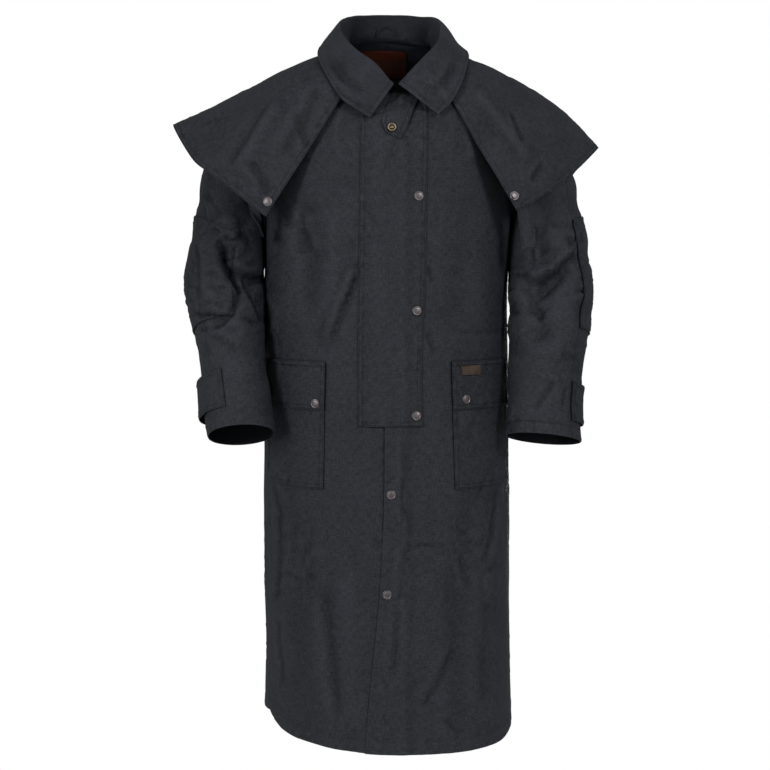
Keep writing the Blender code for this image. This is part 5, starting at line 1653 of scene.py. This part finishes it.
@functools.cache
def waxed_cotton():
    """Waxed cotton: darker in folds and valleys and lighter on ridges, partly wax wear and partly painted
    shade and light; lighter along edges where the wax wears; darker beside stitches, on inner faces and in
    other shaded places as painted shade, and in creases and where layers meet as painted shade from ambient
    occlusion; flecked by slubs of its thicker threads, with a dull waxy gleam and a plain weave under it."""
    settings = bpy.context.scene.duster_cloth
    material, tree, shader = fresh("Waxed cotton", IOR=1.4)
    where = put(tree, "ShaderNodeTexCoord").outputs["Object"]
    # Each point's stored wear and painted shade
    wear_and_shade = put(tree, "ShaderNodeAttribute", attribute_name="wear_and_shade").outputs["Fac"]
    cloth = put(tree, "ShaderNodeUVMap", uv_map="cloth").outputs[0]
    total = wear_and_shade
    for size, weight in WAX_MARKS:
        marks = put(tree, "ShaderNodeTexNoise", {"Vector": where, "Scale": 1 / size, "Detail": 3.0,
                    "Roughness": 0.6}).outputs["Fac"]
        centred = put(tree, "ShaderNodeMath", {0: marks, 1: weight, 2: -0.5 * weight},
                      operation="MULTIPLY_ADD").outputs[0]
        total = put(tree, "ShaderNodeMath", {0: total, 1: centred}, operation="ADD").outputs[0]
    # Small sharp creases 20 to 60 mm apart, in patches, lighter along their ridges where the wax wears away
    sharp = put(tree, "ShaderNodeTexNoise", {"Vector": where, "Scale": 1 / CREASE_SPACING, "Detail": 3.0,
                "Roughness": 0.6, "Lacunarity": 2.3, "Distortion": 0.7},
                noise_type="RIDGED_MULTIFRACTAL").outputs["Fac"]
    patch = put(tree, "ShaderNodeTexNoise", {"Vector": where, "Scale": 1 / CREASE_PATCHES,
                "Detail": 1.0}).outputs["Fac"]
    patch = put(tree, "ShaderNodeMapRange", {"Value": patch, "From Min": 0.35, "From Max": 0.65}).outputs[0]
    sharp = put(tree, "ShaderNodeMath", {0: sharp, 1: CREASE_SHARPNESS}, operation="POWER").outputs[0]
    creased = put(tree, "ShaderNodeMath", {0: sharp, 1: patch}, operation="MULTIPLY").outputs[0]
    lighter = put(tree, "ShaderNodeMath", {0: creased, 1: 0.8, 2: -0.08},
                  operation="MULTIPLY_ADD").outputs[0]
    total = put(tree, "ShaderNodeMath", {0: total, 1: lighter}, operation="ADD").outputs[0]
    # Slubs along and across, coarser than real ones so that they show
    slubs = []
    for scale in ((SLUB_THICK, SLUB_LONG, 0.0), (SLUB_LONG, SLUB_THICK, 0.0)):
        stretched = put(tree, "ShaderNodeMapping", {"Vector": cloth, "Scale": [1 / part if part else 0.0
                        for part in scale]}).outputs[0]
        slub = put(tree, "ShaderNodeTexNoise", {"Vector": stretched, "Scale": 1.0, "Detail": 1.5,
                   "Roughness": 0.5}).outputs["Fac"]
        slubs.append(slub)
        centred = put(tree, "ShaderNodeMath", {0: slub, 1: settings.slubs, 2: -0.5 * settings.slubs},
                      operation="MULTIPLY_ADD").outputs[0]
        total = put(tree, "ShaderNodeMath", {0: total, 1: centred}, operation="ADD").outputs[0]
    # Dark to light from wear, wax marks and slubs, with painted shade and painted light from the stored
    # value
    rubbed_and_shaded = put(tree, "ShaderNodeClamp", {"Value": total}).outputs[0]
    colour = put(tree, "ShaderNodeMix", {0: rubbed_and_shaded, 6: (*settings.dark, 1.0), 7: (*settings.light, 1.0)},
                 data_type="RGBA").outputs[2]
    # Painted shade: ambient occlusion darkens the colour in creases and where layers meet
    hollow = put(tree, "ShaderNodeAmbientOcclusion", {"Distance": PAINTED_SHADE_REACH}, samples=6).outputs["AO"]
    shade = put(tree, "ShaderNodeMapRange", {"Value": hollow, "From Min": 0.25, "From Max": 0.85,
                "To Min": 0.12, "To Max": 1.0}).outputs[0]
    darkened = put(tree, "ShaderNodeVectorMath", {0: colour, "Scale": shade}, operation="SCALE").outputs[0]
    tree.links.new(darkened, shader.inputs["Base Color"])
    rough = put(tree, "ShaderNodeMapRange", {"Value": rubbed_and_shaded, "To Min": settings.roughness - 0.10,
                "To Max": settings.roughness + 0.14})
    tree.links.new(rough.outputs[0], shader.inputs["Roughness"])
    turns = put(tree, "ShaderNodeVectorMath", {0: cloth, "Scale": 2 * math.pi / settings.thread_pitch},
                operation="SCALE").outputs[0]
    parts = put(tree, "ShaderNodeSeparateXYZ", {0: turns})
    over = put(tree, "ShaderNodeMath", {0: parts.outputs[0]}, operation="SINE").outputs[0]
    under = put(tree, "ShaderNodeMath", {0: parts.outputs[1]}, operation="SINE").outputs[0]
    weave = put(tree, "ShaderNodeMath", {0: over, 1: under}, operation="MULTIPLY").outputs[0]
    both = put(tree, "ShaderNodeMath", {0: slubs[0], 1: slubs[1]}, operation="ADD").outputs[0]
    height = put(tree, "ShaderNodeMath", {0: both, 1: 3.0, 2: weave}, operation="MULTIPLY_ADD").outputs[0]
    soft = put(tree, "ShaderNodeBump", {"Height": creased, "Strength": 0.7,
               "Distance": settings.small_creases}).outputs[0]
    bump = put(tree, "ShaderNodeBump", {"Height": height, "Strength": 0.5, "Distance": WEAVE_DEPTH,
               "Normal": soft})
    tree.links.new(bump.outputs[0], shader.inputs["Normal"])
    return material


@functools.cache
def sewing_thread():
    """Waxed sewing thread: matt, and about as dark as the cloth's darkest colour."""
    settings = bpy.context.scene.duster_trim
    material, tree, shader = fresh("Sewing thread", Roughness=0.8)
    where = put(tree, "ShaderNodeTexCoord").outputs["Object"]
    fibre = put(tree, "ShaderNodeTexNoise", {"Vector": where, "Scale": 1 / FIBRES})
    dark = [0.75 * part for part in settings.thread]
    light = [1.25 * part for part in settings.thread]
    colour = put(tree, "ShaderNodeMix", {0: fibre.outputs["Fac"], 6: (*dark, 1.0), 7: (*light, 1.0)},
                 data_type="RGBA")
    tree.links.new(colour.outputs[2], shader.inputs["Base Color"])
    return material


def metal(name, colour, tarnish, roughness):
    """Plated metal, dulled by handling: darker and duller tarnish lies in patches."""
    material, tree, shader = fresh(name, Metallic=1.0)
    where = put(tree, "ShaderNodeTexCoord").outputs["Object"]
    patches = put(tree, "ShaderNodeTexNoise", {"Vector": where, "Scale": 1 / TARNISH,
                  "Detail": 4.0}).outputs["Fac"]
    dark = [tarnish * part for part in colour]
    mixed = put(tree, "ShaderNodeMix", {0: patches, 6: (*dark, 1.0), 7: (*colour, 1.0)}, data_type="RGBA")
    tree.links.new(mixed.outputs[2], shader.inputs["Base Color"])
    rough = put(tree, "ShaderNodeMapRange", {"Value": patches, "To Min": roughness + 0.12,
                "To Max": roughness - 0.08})
    tree.links.new(rough.outputs[0], shader.inputs["Roughness"])
    return material


@functools.cache
def antique_copper():
    """Copper plating, antiqued: pinkish grey."""
    colour = bpy.context.scene.duster_trim.copper
    return metal("Antique copper", colour, tarnish=0.62, roughness=0.42)


@functools.cache
def dull_brass():
    """Brass, rolled and handled: pale yellow, dull."""
    colour = bpy.context.scene.duster_trim.brass
    return metal("Dull brass", colour, tarnish=0.6, roughness=0.40)


@functools.cache
def blackened_brass():
    """Brass gone black in the button's hollow."""
    black = [0.08 * part for part in bpy.context.scene.duster_trim.brass]
    return metal("Blackened brass", black, tarnish=0.5, roughness=0.5)


def leather(name, colour, roughness):
    """Tanned cowhide, waxed by wear: a pebbled grain and soft stains."""
    material, tree, shader = fresh(name, Roughness=roughness, IOR=1.5)
    where = put(tree, "ShaderNodeTexCoord").outputs["Object"]
    stains = put(tree, "ShaderNodeTexNoise", {"Vector": where, "Scale": 1 / LEATHER_STAINS,
                 "Detail": 4.0}).outputs["Fac"]
    dark = [0.6 * part for part in colour]
    light = [1.35 * part for part in colour]
    mixed = put(tree, "ShaderNodeMix", {0: stains, 6: (*dark, 1.0), 7: (*light, 1.0)}, data_type="RGBA")
    tree.links.new(mixed.outputs[2], shader.inputs["Base Color"])
    pebbles = put(tree, "ShaderNodeTexVoronoi", {"Vector": where,
                  "Scale": 1 / LEATHER_PEBBLES}).outputs["Distance"]
    bump = put(tree, "ShaderNodeBump", {"Height": pebbles, "Strength": 0.4, "Distance": PEBBLE_DEPTH})
    tree.links.new(bump.outputs[0], shader.inputs["Normal"])
    return material


@functools.cache
def neck_leather():
    """The red-brown leather in the neck."""
    return leather("Brown leather", bpy.context.scene.duster_trim.neck_leather, roughness=0.5)


@functools.cache
def badge_leather():
    """The grey-brown leather on the pocket flap."""
    return leather("Tan leather", bpy.context.scene.duster_trim.badge_leather, roughness=0.55)


MATERIALS = {
    "waxed_cotton": waxed_cotton,
    "thread": sewing_thread,
    "copper": antique_copper,
    "brass": dull_brass,
    "core": blackened_brass,
    "brown_leather": neck_leather,
    "tan_leather": badge_leather,
}


def place_on_stage(thing):
    bpy.context.scene.collection.objects.link(thing)


def surroundings():
    """White to the camera, and a weak white light on everything else."""
    world = bpy.data.worlds.new("Studio")
    world.use_nodes = True
    tree = world.node_tree
    tree.nodes.clear()
    seen = put(tree, "ShaderNodeBackground", {"Color": (1.0, 1.0, 1.0, 1.0), "Strength": 1.0})
    lit = put(tree, "ShaderNodeBackground", {"Color": (1.0, 1.0, 1.0, 1.0), "Strength":
              bpy.context.scene.duster_studio.sky})
    rays = put(tree, "ShaderNodeLightPath").outputs["Is Camera Ray"]
    mixed = put(tree, "ShaderNodeMixShader", {0: rays, 1: lit.outputs[0], 2: seen.outputs[0]})
    put(tree, "ShaderNodeOutputWorld", {0: mixed.outputs[0]})
    bpy.context.scene.world = world


def studio_floor():
    """A pale round floor, with some light of its own that only the camera sees."""
    settings = bpy.context.scene.duster_studio
    mesh = bpy.data.meshes.new("studio_floor")
    height = HEM - settings.floor_drop
    turns = np.arange(FLOOR_SIDES) * 2 * math.pi / FLOOR_SIDES
    radius = settings.floor_radius
    rim = [(radius * math.cos(turn), radius * math.sin(turn), height) for turn in turns]
    mesh.from_pydata(rim, [], [tuple(range(len(rim)))])
    material, tree, shader = fresh("Pale floor paint", Roughness=0.9)
    shader.inputs["Base Color"].default_value = (0.9, 0.9, 0.9, 1.0)
    shader.inputs["Emission Color"].default_value = (1.0, 1.0, 1.0, 1.0)
    rays = put(tree, "ShaderNodeLightPath").outputs["Is Camera Ray"]
    glow = put(tree, "ShaderNodeMath", {0: rays, 1: settings.floor_glow}, operation="MULTIPLY").outputs[0]
    tree.links.new(glow, shader.inputs["Emission Strength"])
    mesh.materials.append(material)
    place_on_stage(bpy.data.objects.new("studio_floor", mesh))


def studio_lights():
    """Broad soft lamps turned to the middle of the coat."""
    for name, place, size, power in STUDIO_LIGHTS:
        data = bpy.data.lights.new(name, "AREA")
        data.shape = "RECTANGLE"
        data.size, data.size_y = size
        data.energy = power * bpy.context.scene.duster_studio.key
        lamp = bpy.data.objects.new(name, data)
        lamp.location = place
        aim = Vector(STUDIO_AIM) - Vector(place)
        lamp.rotation_euler = aim.to_track_quat("-Z", "Y").to_euler()
        place_on_stage(lamp)


def photo_camera():
    """The photograph's camera, level with the chest and tilted a little down."""
    data = bpy.data.cameras.new("photo_camera")
    data.lens = CAMERA_LENS
    data.sensor_width = SENSOR_WIDTH
    data.clip_end = 100.0
    camera = bpy.data.objects.new("photo_camera", data)
    camera.location = CAMERA_PLACE
    camera.rotation_euler = (math.radians(90 - CAMERA_PITCH), 0.0, 0.0)
    place_on_stage(camera)
    bpy.context.scene.camera = camera


class DUSTER_OT_panels(bpy.types.Operator):
    """Makes the two fronts and the two backs"""

    bl_idname = "duster.panels"
    bl_label = "Fronts and backs"

    def execute(self, context):
        for side in SIDES:
            front_panel(side)
            back_panel(side)
        return {"FINISHED"}


class DUSTER_OT_sleeves(bpy.types.Operator):
    """Makes the sleeves with their elbow patches and cuff tabs"""

    bl_idname = "duster.sleeves"
    bl_label = "Sleeves"

    def execute(self, context):
        for side in SIDES:
            sleeves(side)
        return {"FINISHED"}


class DUSTER_OT_cape(bpy.types.Operator):
    """Makes the cape over the shoulders"""

    bl_idname = "duster.cape"
    bl_label = "Cape"

    def execute(self, context):
        cape_piece()
        return {"FINISHED"}


class DUSTER_OT_collar(bpy.types.Operator):
    """Makes the collar, its stand and fall"""

    bl_idname = "duster.collar"
    bl_label = "Collar"

    def execute(self, context):
        collar_piece()
        return {"FINISHED"}


class DUSTER_OT_storm_flap(bpy.types.Operator):
    """Makes the storm flap and the throat tab over it"""

    bl_idname = "duster.storm_flap"
    bl_label = "Storm flap and throat tab"

    def execute(self, context):
        storm_flap()
        throat_tab()
        return {"FINISHED"}


class DUSTER_OT_pockets(bpy.types.Operator):
    """Makes the pockets and their flaps"""

    bl_idname = "duster.pockets"
    bl_label = "Pockets"

    def execute(self, context):
        for side in SIDES:
            pockets(side)
        return {"FINISHED"}


class DUSTER_OT_straps(bpy.types.Operator):
    """Makes the keeper straps under the cape and the hanger loop"""

    bl_idname = "duster.straps"
    bl_label = "Straps and hanger loop"

    def execute(self, context):
        for side in SIDES:
            keeper_strap(side)
        hanger_loop()
        return {"FINISHED"}


class DUSTER_OT_fasteners(bpy.types.Operator):
    """Makes the snaps and the throat button"""

    bl_idname = "duster.fasteners"
    bl_label = "Snaps and button"

    def execute(self, context):
        fasteners()
        return {"FINISHED"}


class DUSTER_OT_leather(bpy.types.Operator):
    """Makes the blank leather in the neck and on the pocket flap"""

    bl_idname = "duster.leather"
    bl_label = "Leather"

    def execute(self, context):
        neck_label()
        pocket_badge()
        return {"FINISHED"}


class DUSTER_OT_stage(bpy.types.Operator):
    """Makes the floor, the lights and the camera"""

    bl_idname = "duster.stage"
    bl_label = "Studio"

    def execute(self, context):
        context.scene.view_settings.view_transform = "Standard"
        surroundings()
        studio_floor()
        studio_lights()
        photo_camera()
        return {"FINISHED"}


class DUSTER_PT_panel(bpy.types.Panel):
    """Lists the coat's settings and the operators that make it."""

    bl_idname = "DUSTER_PT_panel"
    bl_label = "Duster Coat"
    bl_space_type = "VIEW_3D"
    bl_region_type = "UI"
    bl_category = "Duster Coat"

    def draw(self, context):
        for name in SETTINGS:
            group = getattr(context.scene, name)
            for prop in group.__annotations__:
                self.layout.prop(group, prop)
        for operator in OPERATORS:
            self.layout.operator(operator.bl_idname)


OPERATORS = (
    DUSTER_OT_panels, DUSTER_OT_sleeves, DUSTER_OT_cape, DUSTER_OT_collar, DUSTER_OT_storm_flap,
    DUSTER_OT_pockets, DUSTER_OT_straps, DUSTER_OT_fasteners, DUSTER_OT_leather, DUSTER_OT_stage,
)
SETTINGS = {
    "duster_cloth": CLOTH_PG_settings,
    "duster_trim": TRIM_PG_settings,
    "duster_studio": STUDIO_PG_settings,
}


def register():
    for made in (*SETTINGS.values(), *OPERATORS, DUSTER_PT_panel):
        bpy.utils.register_class(made)
    for name, group in SETTINGS.items():
        setattr(bpy.types.Scene, name, PointerProperty(type=group))


def unregister():
    for name in SETTINGS:
        delattr(bpy.types.Scene, name)
    for made in (DUSTER_PT_panel, *reversed(OPERATORS), *SETTINGS.values()):
        bpy.utils.unregister_class(made)


def main():
    register()
    bpy.ops.duster.panels()
    bpy.ops.duster.sleeves()
    bpy.ops.duster.cape()
    bpy.ops.duster.collar()
    bpy.ops.duster.storm_flap()
    bpy.ops.duster.pockets()
    bpy.ops.duster.straps()
    bpy.ops.duster.fasteners()
    bpy.ops.duster.leather()
    bpy.ops.duster.stage()


if __name__ == "__main__":
    main()
